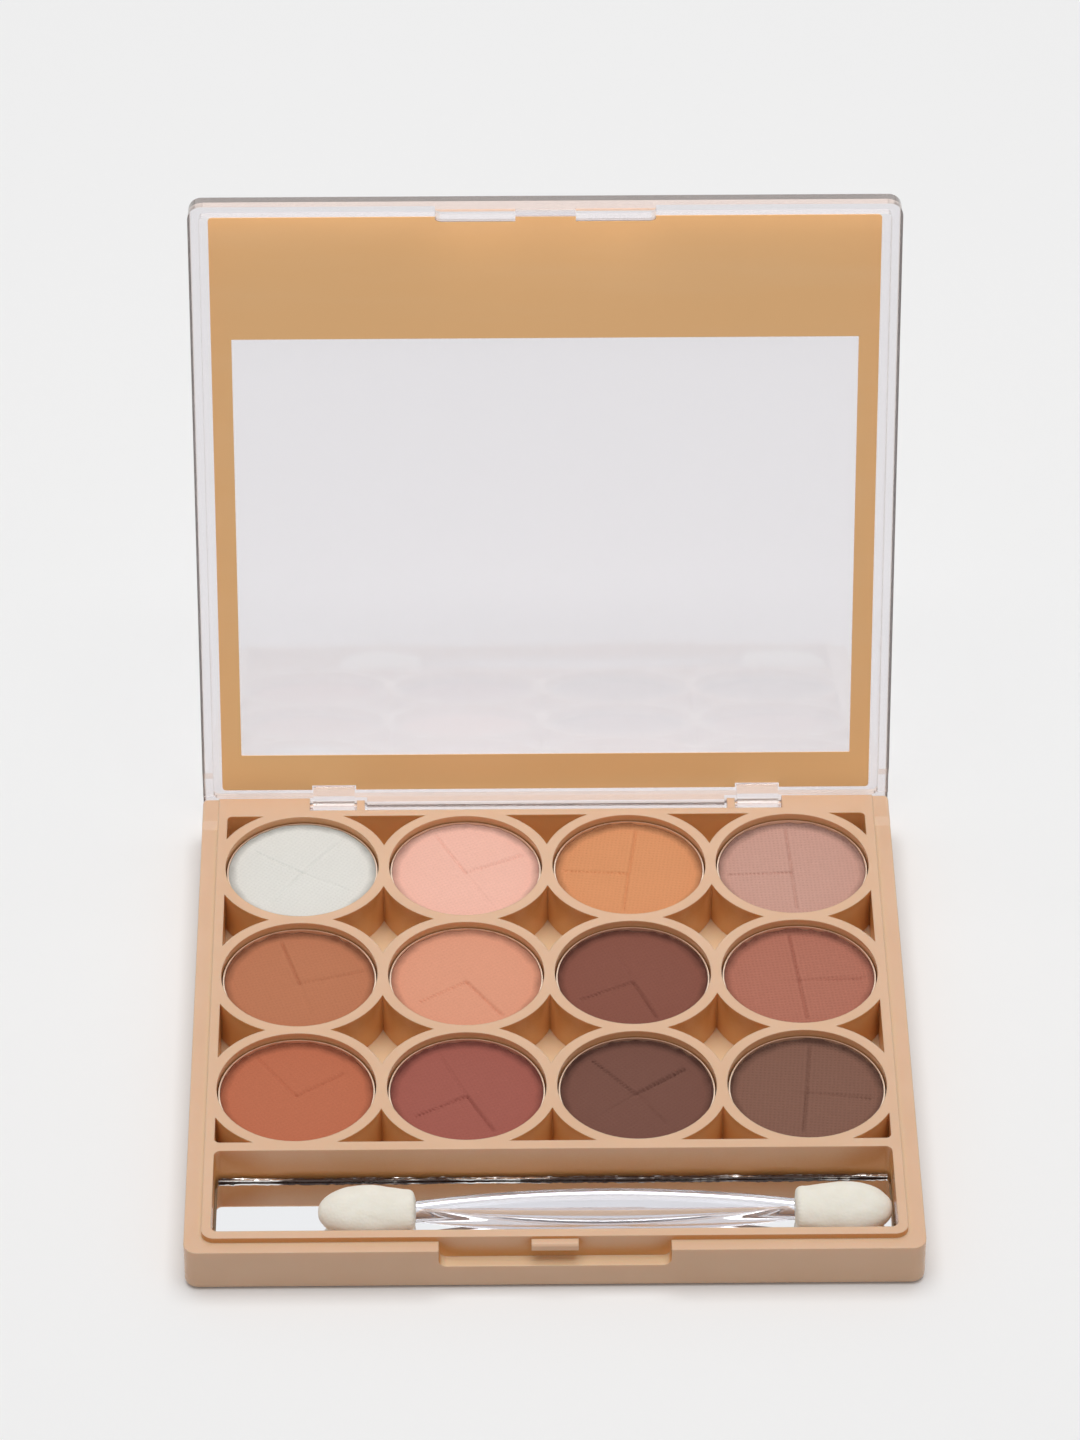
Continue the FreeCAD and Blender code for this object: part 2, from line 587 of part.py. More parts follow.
def add_lug_outline(sketch):
    """Draws a lid lug from the side: a block up into the plate, half round below the hinge line."""
    axis_y = size("hinge_y")
    axis_z = size("hinge_z")
    front = size("lug_front_y")
    top = size("plate_inner_z") + doc.sizes.lid_plate / 2
    radius = doc.sizes.hinge_inset
    half_turn = 3.141592653589793
    circle = Part.Circle(V(axis_y, axis_z, 0), V(0, 0, 1), radius)
    sketch.addGeometry(Part.ArcOfCircle(circle, half_turn, 2 * half_turn))
    corners = (
        V(axis_y + radius, axis_z, 0),
        V(axis_y + radius, top, 0),
        V(front, top, 0),
        V(front, axis_z, 0),
        V(axis_y - radius, axis_z, 0),
    )
    for start, end in zip(corners[:-1], corners[1:]):
        sketch.addGeometry(Part.LineSegment(start, end))
    sketch.addConstraint(Sketcher.Constraint("Tangent", 0, 2, 1, 1))
    for number in (1, 2, 3):
        sketch.addConstraint(Sketcher.Constraint("Coincident", number, 2, number + 1, 1))
    sketch.addConstraint(Sketcher.Constraint("Coincident", 4, 2, 0, 1))
    sketch.addConstraint(Sketcher.Constraint("Vertical", 1))
    sketch.addConstraint(Sketcher.Constraint("Horizontal", 2))
    sketch.addConstraint(Sketcher.Constraint("Vertical", 3))
    sketch.addConstraint(Sketcher.Constraint("Horizontal", 4))
    bind(sketch, Sketcher.Constraint("DistanceX", -1, 1, 0, 3, axis_y), "layout.hinge_y")
    bind(sketch, Sketcher.Constraint("DistanceY", -1, 1, 0, 3, axis_z), "layout.hinge_z")
    bind(sketch, Sketcher.Constraint("Radius", 0, radius), "sizes.hinge_inset")
    bind(sketch, Sketcher.Constraint("DistanceY", -1, 1, 4, 1, axis_z), "layout.hinge_z")
    bind(sketch, Sketcher.Constraint("DistanceX", -1, 1, 3, 1, front), "layout.lug_front_y")
    bind(sketch, Sketcher.Constraint("DistanceY", -1, 1, 2, 1, top),
         "layout.plate_inner_z + sizes.lid_plate / 2")


def swing_open(body):
    """Turns a piece of the lid about the trunnions from closed to open."""
    body.setExpression("Placement", "placement(vector(0; 0; 0); rotation(vector(1; 0; 0);"
                       " -sizes.lid_open_angle); vector(0; layout.hinge_y; layout.hinge_z))")


def build_lid():
    """The clear lid: plate and wall, relieved over the ears, with lugs, back wall and tongue."""
    body = make_body("lid_shell")
    outline = make_sketch(body, "lid_outline", lift="layout.rim_z")
    add_rectangle(outline, "layout.base_width", "layout.base_depth", "sizes.base_corner_front",
                  "sizes.base_corner_back")
    add_pad(body, outline, "sizes.lid_height")
    top = size("rim_z") + doc.sizes.lid_height
    round_edges(body, edges_where(body.Shape, lambda point: near(point.z, top)), "sizes.lid_edge")
    cavity = make_sketch(body, "lid_cavity", lift="layout.rim_z",
                         shift="(sizes.lid_wall - sizes.lid_back_wall) / 2")
    add_rectangle(cavity, "layout.base_width - 2 * sizes.lid_wall",
                  "layout.base_depth - sizes.lid_wall - sizes.lid_back_wall", "sizes.lid_inner_corner")
    add_pocket(body, cavity, "layout.cavity_depth", reverse=True)

    # Relief over the ears and the hinge notch, right across; the back wall and lugs fill it again.
    relief = make_sketch(body, "lid_ear_relief", plane="YZ_Plane")
    side_top = "layout.plateau_z - sizes.ear_drop + sizes.lid_ear_gap"
    wall_y = "layout.hinge_y - sizes.hinge_inset - sizes.lid_ear_gap"
    beyond = "layout.back_y + sizes.lid_back_wall"
    below = "layout.rim_z - sizes.lid_plate"
    add_polygon(relief, (
        ("layout.ear_front_y - sizes.lid_ear_gap", below),
        ("layout.ear_front_y - sizes.lid_ear_gap", "layout.rim_z"),
        ("layout.ear_front_y + sizes.ear_ramp - sizes.lid_ear_gap", side_top),
        (wall_y, side_top),
        (wall_y, "layout.relief_top_z"),
        (beyond, "layout.relief_top_z"),
        (beyond, below),
    ))
    add_pocket(body, relief)
    strip = make_sketch(body, "lid_back_strip", lift="layout.rim_z",
                        shift="layout.back_y - sizes.lid_back_wall / 2")
    add_rectangle(strip, "2 * layout.strip_half", "sizes.lid_back_wall")
    add_pad(body, strip, "layout.plate_inner_z - layout.rim_z + sizes.lid_plate / 2")
    lugs = make_sketch(body, "lid_lug", plane="YZ_Plane", lift="layout.lug_inner_x")
    add_lug_outline(lugs)
    lug = add_pad(body, lugs, "sizes.lug_width")
    trunnions = make_sketch(body, "lid_trunnion", plane="YZ_Plane", lift="layout.trunnion_inner_x")
    add_circle(trunnions, "sizes.trunnion_diameter / 2", "layout.hinge_y", "layout.hinge_z")
    trunnion = add_pad(body, trunnions, "layout.trunnion_outer_x - layout.trunnion_inner_x")
    add_mirror(body, [lug, trunnion])

    # Tongue in the front notch, hollowed behind for the catch, which its lip hooks under.
    tongue = make_sketch(body, "lid_tongue", plane="XZ_Plane", lift="layout.back_y", shift="layout.rim_z")
    add_rectangle(tongue, "sizes.front_notch_width - 2 * sizes.tongue_gap", "2 * sizes.tongue_length",
                  "sizes.tongue_corner")
    add_pad(body, tongue, "sizes.lid_wall", reverse=True)
    past_end = "layout.tongue_low_z - sizes.catch_gap"
    over_catch = "layout.catch_top_z + sizes.catch_gap"
    hollow_tongue(body, "lid_lip", past_end, over_catch, "layout.catch_nose_y + sizes.catch_bite")
    hollow_tongue(body, "lid_catch_room", "layout.catch_low_z - sizes.catch_gap", over_catch,
                  "layout.catch_nose_y - sizes.catch_gap")
    hollow_tongue(body, "lid_lip_end", past_end, "layout.tongue_low_z + sizes.relief_drop",
                  "-layout.back_y - sizes.lid_wall")
    swing_open(body)


def hollow_tongue(body, name, low, high, reach):
    """Cuts the tongue's middle from its inner face out to a place, between two heights."""
    sketch = make_sketch(body, name, plane="XZ_Plane", lift="-layout.lid_front_inner_y",
                         shift=f"(({low}) + ({high})) / 2")
    add_rectangle(sketch, "sizes.catch_width + 2 * sizes.relief_gap", f"({high}) - ({low})")
    add_pocket(body, sketch, f"layout.lid_front_inner_y - ({reach})", reverse=True)


def build_print():
    """The printed film on the inside of the lid plate, cut out for its window and the lugs."""
    body = make_body("lid_print")
    film = make_sketch(body, "print_film", lift="layout.plate_inner_z - sizes.print_thickness",
                       shift="(sizes.print_front_margin - sizes.print_back_margin) / 2")
    width = "layout.base_width - 2 * sizes.print_side_margin"
    depth = "layout.base_depth - sizes.print_front_margin - sizes.print_back_margin"
    add_rectangle(film, width, depth, "sizes.print_corner")
    add_pad(body, film, "sizes.print_thickness")
    window = make_sketch(body, "print_window", lift="layout.plate_inner_z",
                         shift="(sizes.print_front_margin + sizes.print_front_band"
                         " - sizes.print_back_margin - sizes.print_back_band) / 2")
    add_rectangle(window, f"{width} - 2 * sizes.print_side_band",
                  f"{depth} - sizes.print_front_band - sizes.print_back_band")
    add_pocket(body, window)
    notch = make_sketch(body, "print_lug_notch", lift="layout.plate_inner_z", shift="layout.back_y")
    notch.setExpression("AttachmentOffset.Base.x", "(layout.lug_inner_x + layout.lug_outer_x) / 2")
    add_rectangle(notch, "sizes.lug_width + 2 * sizes.print_lug_gap",
                  "2 * (max(layout.back_y - layout.lug_front_y; sizes.print_back_margin)"
                  " + sizes.print_lug_gap)")
    add_mirror(body, [add_pocket(body, notch)])
    swing_open(body)


def build_pan(label, column, row):
    """A pressed pan: a shallow straight-sided cup."""
    body = make_body(f"pan_{label}")
    disc = make_sketch(body, f"pan_disc_{label}")
    add_circle(disc, "sizes.pan_diameter / 2")
    add_pad(body, disc, "sizes.pan_height")
    hollow = make_sketch(body, f"pan_hollow_{label}", lift="sizes.pan_height")
    add_circle(hollow, "sizes.pan_diameter / 2 - sizes.pan_wall")
    add_pocket(body, hollow, "sizes.pan_height - sizes.pan_wall")
    place(body, column_x(column), row_y(row), "layout.pan_seat_z")


def build_powder(label, column, row):
    """A pressed cake in its pan, with two lines pressed across it."""
    body = make_body(f"powder_{label}")
    radius = "(sizes.pan_diameter / 2 - sizes.pan_wall - sizes.powder_gap)"
    height = f"(sizes.pan_height - sizes.pan_wall - sizes.powder_drop_{label})"
    cake = make_sketch(body, f"powder_cake_{label}")
    add_circle(cake, radius)
    add_pad(body, cake, height)
    along = make_sketch(body, f"powder_line_{label}", lift=height)
    add_rectangle(along, f"2 * {radius} + sizes.pan_wall", "sizes.cross_width")
    add_pocket(body, along, "sizes.cross_depth")
    across = make_sketch(body, f"powder_cross_{label}", lift=height)
    add_rectangle(across, "sizes.cross_width", f"2 * {radius} + sizes.pan_wall")
    add_pocket(body, across, "sizes.cross_depth")
    floor = "layout.pan_seat_z + sizes.pan_wall"
    body.setExpression("Placement", f"placement(vector({column_x(column)}; {row_y(row)}; {floor});"
                       f" rotation(vector(0; 0; 1); sizes.cross_turn_{label}))")


def build_mirror():
    """The mirror strip and the tape that holds it to the trough floor."""
    middle = "layout.trough_front_y + sizes.mirror_front_gap + sizes.mirror_width / 2"
    width = "layout.inner_width - 2 * sizes.mirror_side_gap"
    body = make_body("mirror_strip")
    strip = make_sketch(body, "mirror_outline", lift="layout.mirror_z", shift=middle)
    add_rectangle(strip, width, "sizes.mirror_width")
    add_pad(body, strip, "sizes.mirror_thickness")
    body = make_body("mirror_tape")
    tape = make_sketch(body, "tape_outline", lift="sizes.base_floor", shift=middle)
    add_rectangle(tape, f"{width} - 2 * sizes.tape_margin", "sizes.mirror_width - 2 * sizes.tape_margin")
    add_pad(body, tape, "sizes.tape_thickness")


def build_handle():
    """The applicator's clear stick: a spindle with bevelled long edges and a stub at each end."""
    body = make_body("applicator_handle")
    outline = make_sketch(body, "handle_outline")
    half = doc.sizes.handle_length / 2
    end = half + doc.sizes.stub_length
    neck = doc.sizes.handle_neck / 2
    bulge = (doc.sizes.handle_middle - doc.sizes.handle_neck) / 2
    radius = (half ** 2 + bulge ** 2) / (2 * bulge)
    top = neck + bulge
    corners = (V(half, neck, 0), V(end, neck, 0), V(end, -neck, 0), V(half, -neck, 0))
    for start, stop in zip(corners[:-1], corners[1:]):
        outline.addGeometry(Part.LineSegment(start, stop))
    outline.addGeometry(Part.Arc(V(half, -neck, 0), V(0, -top, 0), V(-half, -neck, 0)))
    corners = (V(-half, -neck, 0), V(-end, -neck, 0), V(-end, neck, 0), V(-half, neck, 0))
    for start, stop in zip(corners[:-1], corners[1:]):
        outline.addGeometry(Part.LineSegment(start, stop))
    outline.addGeometry(Part.Arc(V(-half, neck, 0), V(0, top, 0), V(half, neck, 0)))
    for number, following in ((0, 1), (1, 2), (4, 5), (5, 6)):
        outline.addConstraint(Sketcher.Constraint("Coincident", number, 2, following, 1))
    for arc, before, after in ((3, 2, 4), (7, 6, 0)):
        start = outline.getPoint(arc, 1)
        first = 1 if start.distanceToPoint(outline.getPoint(before, 2)) < 1e-6 else 2
        outline.addConstraint(Sketcher.Constraint("Coincident", before, 2, arc, first))
        outline.addConstraint(Sketcher.Constraint("Coincident", after, 1, arc, 3 - first))
        outline.addConstraint(Sketcher.Constraint("PointOnObject", arc, 3, -2))
        bind(outline, Sketcher.Constraint("Radius", arc, radius),
             "((sizes.handle_length / 2) ^ 2 + ((sizes.handle_middle - sizes.handle_neck) / 2) ^ 2)"
             " / (sizes.handle_middle - sizes.handle_neck)")
    for number in (0, 2, 4, 6):
        outline.addConstraint(Sketcher.Constraint("Horizontal", number))
    outline.addConstraint(Sketcher.Constraint("Vertical", 5))
    outline.addConstraint(Sketcher.Constraint("Symmetric", 1, 1, 1, 2, -1))
    outline.addConstraint(Sketcher.Constraint("Symmetric", 1, 1, 5, 2, -2))
    outline.addConstraint(Sketcher.Constraint("Equal", 0, 2))
    outline.addConstraint(Sketcher.Constraint("Equal", 4, 6))
    bind(outline, Sketcher.Constraint("DistanceY", 1, 2, 1, 1, 2 * neck), "sizes.handle_neck")
    bind(outline, Sketcher.Constraint("DistanceX", 5, 2, 1, 1, 2 * end),
         "sizes.handle_length + 2 * sizes.stub_length")
    bind(outline, Sketcher.Constraint("DistanceX", 0, 1, 0, 2, end - half), "sizes.stub_length")
    add_pad(body, outline, "sizes.handle_thickness", symmetric=True)
    level = doc.sizes.handle_thickness / 2
    long_edges = edges_where(body.Shape, lambda point: near(abs(point.z), level)
                             and abs(point.x) < end - 1e-4)
    round_edges(body, long_edges, "min(sizes.handle_bevel; sizes.handle_neck * 0.45;"
                " sizes.handle_thickness * 0.45)", kind="PartDesign::Chamfer")
    place(body, "layout.applicator_x", "layout.applicator_y", "layout.applicator_z")


def add_oval(sketch, share):
    """Draws a section of the sponge tip: an oval of four arcs, a share of the full section."""
    half = share * doc.sizes.tip_width / 2
    tall = share * doc.sizes.tip_thickness / 2
    side = tall * doc.sizes.tip_roundness
    inner = half - side
    flat = (inner ** 2 + tall ** 2 - side ** 2) / (2 * (tall - side))
    reach = side / (flat - side)
    touch = V(inner * (1 + reach), (flat - tall) * reach, 0)
    low = V(touch.x, -touch.y, 0)
    sketch.addGeometry(Part.Arc(touch, V(0, tall, 0), -low))
    sketch.addGeometry(Part.Arc(-low, V(-half, 0, 0), -touch))
    sketch.addGeometry(Part.Arc(-touch, V(0, -tall, 0), low))
    sketch.addGeometry(Part.Arc(low, V(half, 0, 0), touch))
    for number in range(4):
        sketch.addConstraint(Sketcher.Constraint("Tangent", number, 2, (number + 1) % 4, 1))
    sketch.addConstraint(Sketcher.Constraint("PointOnObject", 0, 3, -2))
    sketch.addConstraint(Sketcher.Constraint("PointOnObject", 1, 3, -1))
    sketch.addConstraint(Sketcher.Constraint("PointOnObject", 3, 3, -1))
    sketch.addConstraint(Sketcher.Constraint("Equal", 0, 2))
    sketch.addConstraint(Sketcher.Constraint("Equal", 1, 3))
    bind(sketch, Sketcher.Constraint("Radius", 1, side), f"{share} * layout.tip_side")
    bind(sketch, Sketcher.Constraint("Radius", 0, flat), f"{share} * layout.tip_flat")
    bind(sketch, Sketcher.Constraint("DistanceX", 1, 3, 3, 3, 2 * inner), f"2 * {share} * layout.tip_inner")


def build_tip(label, direction):
    """A sponge tip, lofted from its cut end to its round end, with a socket for the stick's stub."""
    body = make_body(label)
    sections = []
    for number, (way, share) in enumerate(TIP_FORM):
        section = make_sketch(body, f"{label}_section_{number}", plane="YZ_Plane",
                              lift=f"{way} * sizes.tip_length")
        add_oval(section, share)
        sections.append(section)
    doc.recompute()
    loft = body.newObject("PartDesign::AdditiveLoft", label + "_loft")
    loft.Profile = sections[0]
    loft.Sections = sections[1:]
    loft.Ruled = True
    settle(body, loft)
    socket = make_sketch(body, label + "_socket", plane="YZ_Plane")
    add_rectangle(socket, "sizes.handle_neck + 2 * sizes.stub_gap",
                  "sizes.handle_thickness + 2 * sizes.stub_gap")
    add_pocket(body, socket, "sizes.stub_length + sizes.stub_gap", reverse=True)
    body.Placement.Rotation = FreeCAD.Rotation(V(0, 0, 1), 0 if direction > 0 else 180)
    place(body, f"layout.applicator_x + {direction} * sizes.handle_length / 2", "layout.applicator_y",
          "layout.applicator_z")


build_base()
for label, turn, drop in POWDERS:
    row = int(label[1]) - 1
    column = int(label[3]) - 1
    build_pan(label, column, row)
    build_powder(label, column, row)
build_mirror()
build_handle()
build_tip("applicator_tip_left", -1)
build_tip("applicator_tip_right", 1)
build_lid()
build_print()
doc.recompute()

faults = [item.Name for item in doc.Objects if "Invalid" in item.State or "Error" in item.State]
if faults:
    raise ValueError(f"not recomputed: {faults}")
nodes = [item for item in doc.Objects if item.TypeId == "PartDesign::Body"]
for node in nodes:
    if node.Shape.isNull() or not node.Shape.isValid() or len(node.Shape.Solids) != 1:
        raise ValueError(f"{node.Label} is not one sound solid")
os.makedirs("parts", exist_ok=True)
for node in nodes:
    node.Shape.exportStep(f"parts/{node.Label}.step")
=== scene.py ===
"""Eyeshadow palette: tan tray of pressed powders, mirror trough, sponge applicator and clear lid.

Lengths are in metres, or in millimetres where a name or a docstring says so, in the frame of the
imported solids: X left to right, Y from the front edge to the hinge, Z up from the tray's underside.
"""

import logging
import math
from dataclasses import dataclass, field
from enum import Enum
from typing import Optional, Union

import bpy
import numpy as np
from bpy.types import Material, Node, NodeSocket, NodeTree, Object
from mathutils import Matrix, Vector


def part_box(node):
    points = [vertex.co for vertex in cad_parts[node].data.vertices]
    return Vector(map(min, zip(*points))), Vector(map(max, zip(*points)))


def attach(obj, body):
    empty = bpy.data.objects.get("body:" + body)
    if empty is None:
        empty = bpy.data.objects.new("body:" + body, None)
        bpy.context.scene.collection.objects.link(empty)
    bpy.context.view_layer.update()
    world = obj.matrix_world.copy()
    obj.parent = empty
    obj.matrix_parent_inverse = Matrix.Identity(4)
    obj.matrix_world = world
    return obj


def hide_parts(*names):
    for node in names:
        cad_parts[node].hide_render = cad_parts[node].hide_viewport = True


LOG = logging.getLogger("palette")
MM = 0.001
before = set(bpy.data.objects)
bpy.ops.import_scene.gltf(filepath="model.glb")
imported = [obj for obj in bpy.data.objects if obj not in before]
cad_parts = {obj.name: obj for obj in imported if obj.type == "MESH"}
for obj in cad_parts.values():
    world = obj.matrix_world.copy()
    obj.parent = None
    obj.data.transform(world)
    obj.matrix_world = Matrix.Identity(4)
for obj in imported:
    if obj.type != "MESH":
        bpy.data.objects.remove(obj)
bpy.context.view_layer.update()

Range = tuple[float, float]
Colour = tuple[float, float, float, float]
Feed = Union[NodeSocket, float, tuple]


class Body(Enum):
    """The bodies that pieces ride on."""

    BASE = "base"
    LID = "lid"
    APPLICATOR = "applicator"


def linear(code: str, alpha: float = 1.0) -> Colour:
    """Turns an sRGB hex colour to linear light.

    Args:
        code: The colour as #RRGGBB.
        alpha: The fourth channel.

    Returns:
        Linear red, green and blue, and alpha.
    """
    shares = [int(code[place:place + 2], 16) / 255 for place in (1, 3, 5)]
    lit = [share / 12.92 if share <= 0.04045 else ((share + 0.055) / 1.055) ** 2.4 for share in shares]
    return (*lit, alpha)


def per_metre(size_mm: float) -> float:
    """Gives a texture scale for a feature of a real size in millimetres."""
    return 1 / (size_mm * MM)


def wave_scale(period_mm: float) -> float:
    """Gives a wave texture's scale, which counts twentieths of a turn, for a real period in millimetres."""
    return 2 * math.pi / (20 * period_mm * MM)


def feed(tree: NodeTree, node: Node, inputs: dict[Union[int, str], Feed]) -> None:
    """Gives a node its values and links.

    Args:
        tree: The node tree.
        node: The node.
        inputs: Values, or sockets to link from, by input name or number.
    """
    for key, value in inputs.items():
        if isinstance(value, NodeSocket):
            tree.links.new(value, node.inputs[key])
        else:
            node.inputs[key].default_value = value


def put(tree: NodeTree, kind: str, inputs: dict[Union[int, str], Feed], **settings: Union[str, int]) -> Node:
    """Adds a node with its settings, values and links.

    Args:
        tree: The node tree.
        kind: The node's type name.
        inputs: Values, or sockets to link from, by input name or number.
        settings: The node's own properties.

    Returns:
        The new node.
    """
    node = tree.nodes.new(kind)
    for name, value in settings.items():
        setattr(node, name, value)
    feed(tree, node, inputs)
    return node


def blend(tree: NodeTree, share: NodeSocket, first: Feed, second: Feed) -> NodeSocket:
    """Blends two colours.

    Args:
        tree: The node tree.
        share: How much of the second colour there is.
        first: The colour at no share.
        second: The colour at full share.

    Returns:
        The blended colour.
    """
    return put(tree, "ShaderNodeMix", {0: share, 6: first, 7: second}, data_type="RGBA").outputs[2]


def spread(tree: NodeTree, value: NodeSocket, taken: Range = (0.0, 1.0),
           given: Range = (0.0, 1.0)) -> NodeSocket:
    """Maps one range of values to another, and holds it at the ends.

    Args:
        tree: The node tree.
        value: The value to map.
        taken: The range that it comes in.
        given: The range that it goes out in.

    Returns:
        The mapped value.
    """
    ends = {1: taken[0], 2: taken[1], 3: given[0], 4: given[1]}
    return put(tree, "ShaderNodeMapRange", {0: value, **ends}).outputs[0]


def noise(tree: NodeTree, place: NodeSocket, size_mm: float, detail: float) -> NodeSocket:
    """Lays a noise of a real size.

    Args:
        tree: The node tree.
        place: Where the noise is read.
        size_mm: The size of its lumps, in millimetres.
        detail: How many finer layers it has.

    Returns:
        The noise, about 0.5.
    """
    return put(tree, "ShaderNodeTexNoise", {"Vector": place, "Scale": per_metre(size_mm),
                                            "Detail": detail}).outputs[0]


def relief(tree: NodeTree, height: NodeSocket, strength: float, depth: float,
           under: Optional[NodeSocket] = None) -> NodeSocket:
    """Bends the light by a fine relief.

    Args:
        tree: The node tree.
        height: The relief's height.
        strength: How much of it shows.
        depth: How deep it is.
        under: The normal that it lies on, where that isn't the mesh's own.

    Returns:
        The bent normal.
    """
    inputs = {"Height": height, "Strength": strength, "Distance": depth}
    if under is not None:
        inputs["Normal"] = under
    return put(tree, "ShaderNodeBump", inputs).outputs[0]


def own_normal(tree: NodeTree) -> NodeSocket:
    """Gives the direction that a face has on the piece itself, wherever its body has moved."""
    return put(tree, "ShaderNodeTexCoord", {}).outputs["Normal"]


@dataclass(frozen=True)
class Finish:
    """A finish: what the material is called and how its nodes are laid."""

    name: str

    def make(self) -> Material:
        """Makes the material.

        Returns:
            The material, with its nodes laid by the finish.
        """
        material = bpy.data.materials.new(self.name)
        material.use_nodes = True
        tree = material.node_tree
        tree.nodes.clear()
        shader = put(tree, "ShaderNodeBsdfPrincipled", {})
        put(tree, "ShaderNodeOutputMaterial", {"Surface": shader.outputs[0]})
        place = put(tree, "ShaderNodeTexCoord", {}).outputs["Object"]
        feed(tree, shader, self.lay(tree, place))
        return material

    def lay(self, tree: NodeTree, place: NodeSocket) -> dict[str, Feed]:
        """Lays the finish's own nodes.

        Args:
            tree: The material's nodes.
            place: Object coordinates.

        Returns:
            What the shader is fed, by input name.
        """
        raise NotImplementedError


@dataclass(frozen=True)
class MouldedPlastic(Finish):
    """ABS from a fine-eroded mould: satin, slightly see-through so that hollows glow, edges soft.

    Hollows take painted light and shade in their colour: a painted shade, darker and more orange, on their
    sides, a painted orange glow in tight corners and painted light, a lighter colour, on their upward
    bottoms.
    How much room a place has, from 0 in a closed gap to 1 in the open, says how far it takes them on, over
    the ranges named for room.
    """

    light: str
    dark: str
    # The next three colours are painted light and shade for hollows: a painted shade on their sides, a
    # painted orange glow in tight corners and painted light on their upward bottoms.
    wall: str
    painted_crevice_glow: str
    floor: str
    cloud_mm: float = 9.0
    painted_shade_reach: float = 9.0 * MM
    painted_crevice_glow_room: Range = (0.3, 0.6)
    painted_wall_shade_room: Range = (0.68, 0.98)
    painted_floor_light_room: Range = (0.55, 0.8)
    painted_floor_light_upward: Range = (0.4, 0.8)
    grain_mm: float = 0.35
    grain_depth: float = 0.04 * MM
    sink_mm: float = 7.0
    sink_depth: float = 0.5 * MM
    edge_radius: float = 0.3 * MM
    gloss: Range = (0.17, 0.27)
    glow: float = 0.35
    glow_reach: float = 1.5 * MM

    def lay(self, tree: NodeTree, place: NodeSocket) -> dict[str, Feed]:
        """Lays the colour of open faces, painted shade on the sides of hollows, a painted glow in their
        corners, painted light on their bottoms, a grain, sink waves and patches in the gloss.

        Args:
            tree: The material's nodes.
            place: Object coordinates.

        Returns:
            What the shader is fed, by input name.
        """
        clouds = noise(tree, place, self.cloud_mm, 3.0)
        flow = blend(tree, clouds, linear(self.light), linear(self.dark))
        # The room that a place has sets how much painted shade, painted glow and painted light its colour
        # takes.
        room = put(tree, "ShaderNodeAmbientOcclusion", {"Distance": self.painted_shade_reach}, samples=8,
                   only_local=True).outputs["AO"]
        side = blend(tree, spread(tree, room, self.painted_crevice_glow_room), linear(self.painted_crevice_glow), linear(self.wall))
        walls_with_painted_shade = blend(tree, spread(tree, room, self.painted_wall_shade_room), side, flow)
        floors_with_painted_light = blend(tree, spread(tree, room, self.painted_floor_light_room), linear(self.floor), flow)
        axes = put(tree, "ShaderNodeSeparateXYZ", {0: own_normal(tree)})
        upward = spread(tree, axes.outputs[2], self.painted_floor_light_upward)
        rounded = put(tree, "ShaderNodeBevel", {"Radius": self.edge_radius}, samples=6).outputs[0]
        sinks = relief(tree, noise(tree, place, self.sink_mm, 0.0), 0.25, self.sink_depth, rounded)
        grain = relief(tree, noise(tree, place, self.grain_mm, 2.0), 0.1, self.grain_depth, sinks)
        return {"Base Color": blend(tree, upward, walls_with_painted_shade, floors_with_painted_light), "Normal": grain,
                "Roughness": spread(tree, clouds, given=self.gloss), "IOR": 1.52, "Specular IOR Level": 0.3,
                "Subsurface Weight": self.glow, "Subsurface Radius": (1.0, 0.6, 0.4),
                "Subsurface Scale": self.glow_reach}


@dataclass(frozen=True)
class ClearStyrene(Finish):
    """Clear moulded polystyrene: polished, faintly cool, with slight waves from the mould."""

    tint: str = "#F5F3F6"
    roughness: float = 0.03
    wave: float = 0.05
    wave_mm: float = 14.0
    wave_depth: float = 0.3 * MM
    clearness: float = 0.93

    def lay(self, tree: NodeTree, place: NodeSocket) -> dict[str, Feed]:
        """Lays a clear body with faint flow waves.

        Args:
            tree: The material's nodes.
            place: Object coordinates.

        Returns:
            What the shader is fed, by input name.
        """
        waves = noise(tree, place, self.wave_mm, 1.0)
        return {"Normal": relief(tree, waves, self.wave, self.wave_depth), "Base Color": linear(self.tint),
                "Roughness": self.roughness, "Transmission Weight": self.clearness, "IOR": 1.59}


@dataclass(frozen=True)
class ClearMoulding(ClearStyrene):
    """A thin clear plate with side faces: the plate is clear, and the side faces are made milky and warm, a
    painted reflection of the ochre film.
    """

    # The way that the plate faces on the open lid, and how squarely a face has to share it.
    outward: tuple[float, float, float] = (0.0, 0.974, -0.225)
    plate_share: Range = (0.85, 0.97)
    # The side faces' warm tint, shown through their lower clearness, is a painted reflection of the film.
    wall_painted_reflection: str = "#F6E5DC"
    wall_clearness: float = 0.82

    def lay(self, tree: NodeTree, place: NodeSocket) -> dict[str, Feed]:
        """Lays the clear body, then tells the plate's faces from the side faces by their own direction, and
        gives the side faces a painted reflection of the film.

        Args:
            tree: The material's nodes.
            place: Object coordinates.

        Returns:
            What the shader is fed, by input name.
        """
        body = super().lay(tree, place)
        along = put(tree, "ShaderNodeVectorMath", {0: own_normal(tree), 1: self.outward},
                    operation="DOT_PRODUCT")
        square = put(tree, "ShaderNodeMath", {0: along.outputs["Value"]}, operation="ABSOLUTE")
        plate = spread(tree, square.outputs[0], self.plate_share)
        clear = spread(tree, plate, given=(self.wall_clearness, self.clearness))
        tint = blend(tree, plate, linear(self.wall_painted_reflection), linear(self.tint))
        return {**body, "Transmission Weight": clear, "Base Color": tint}


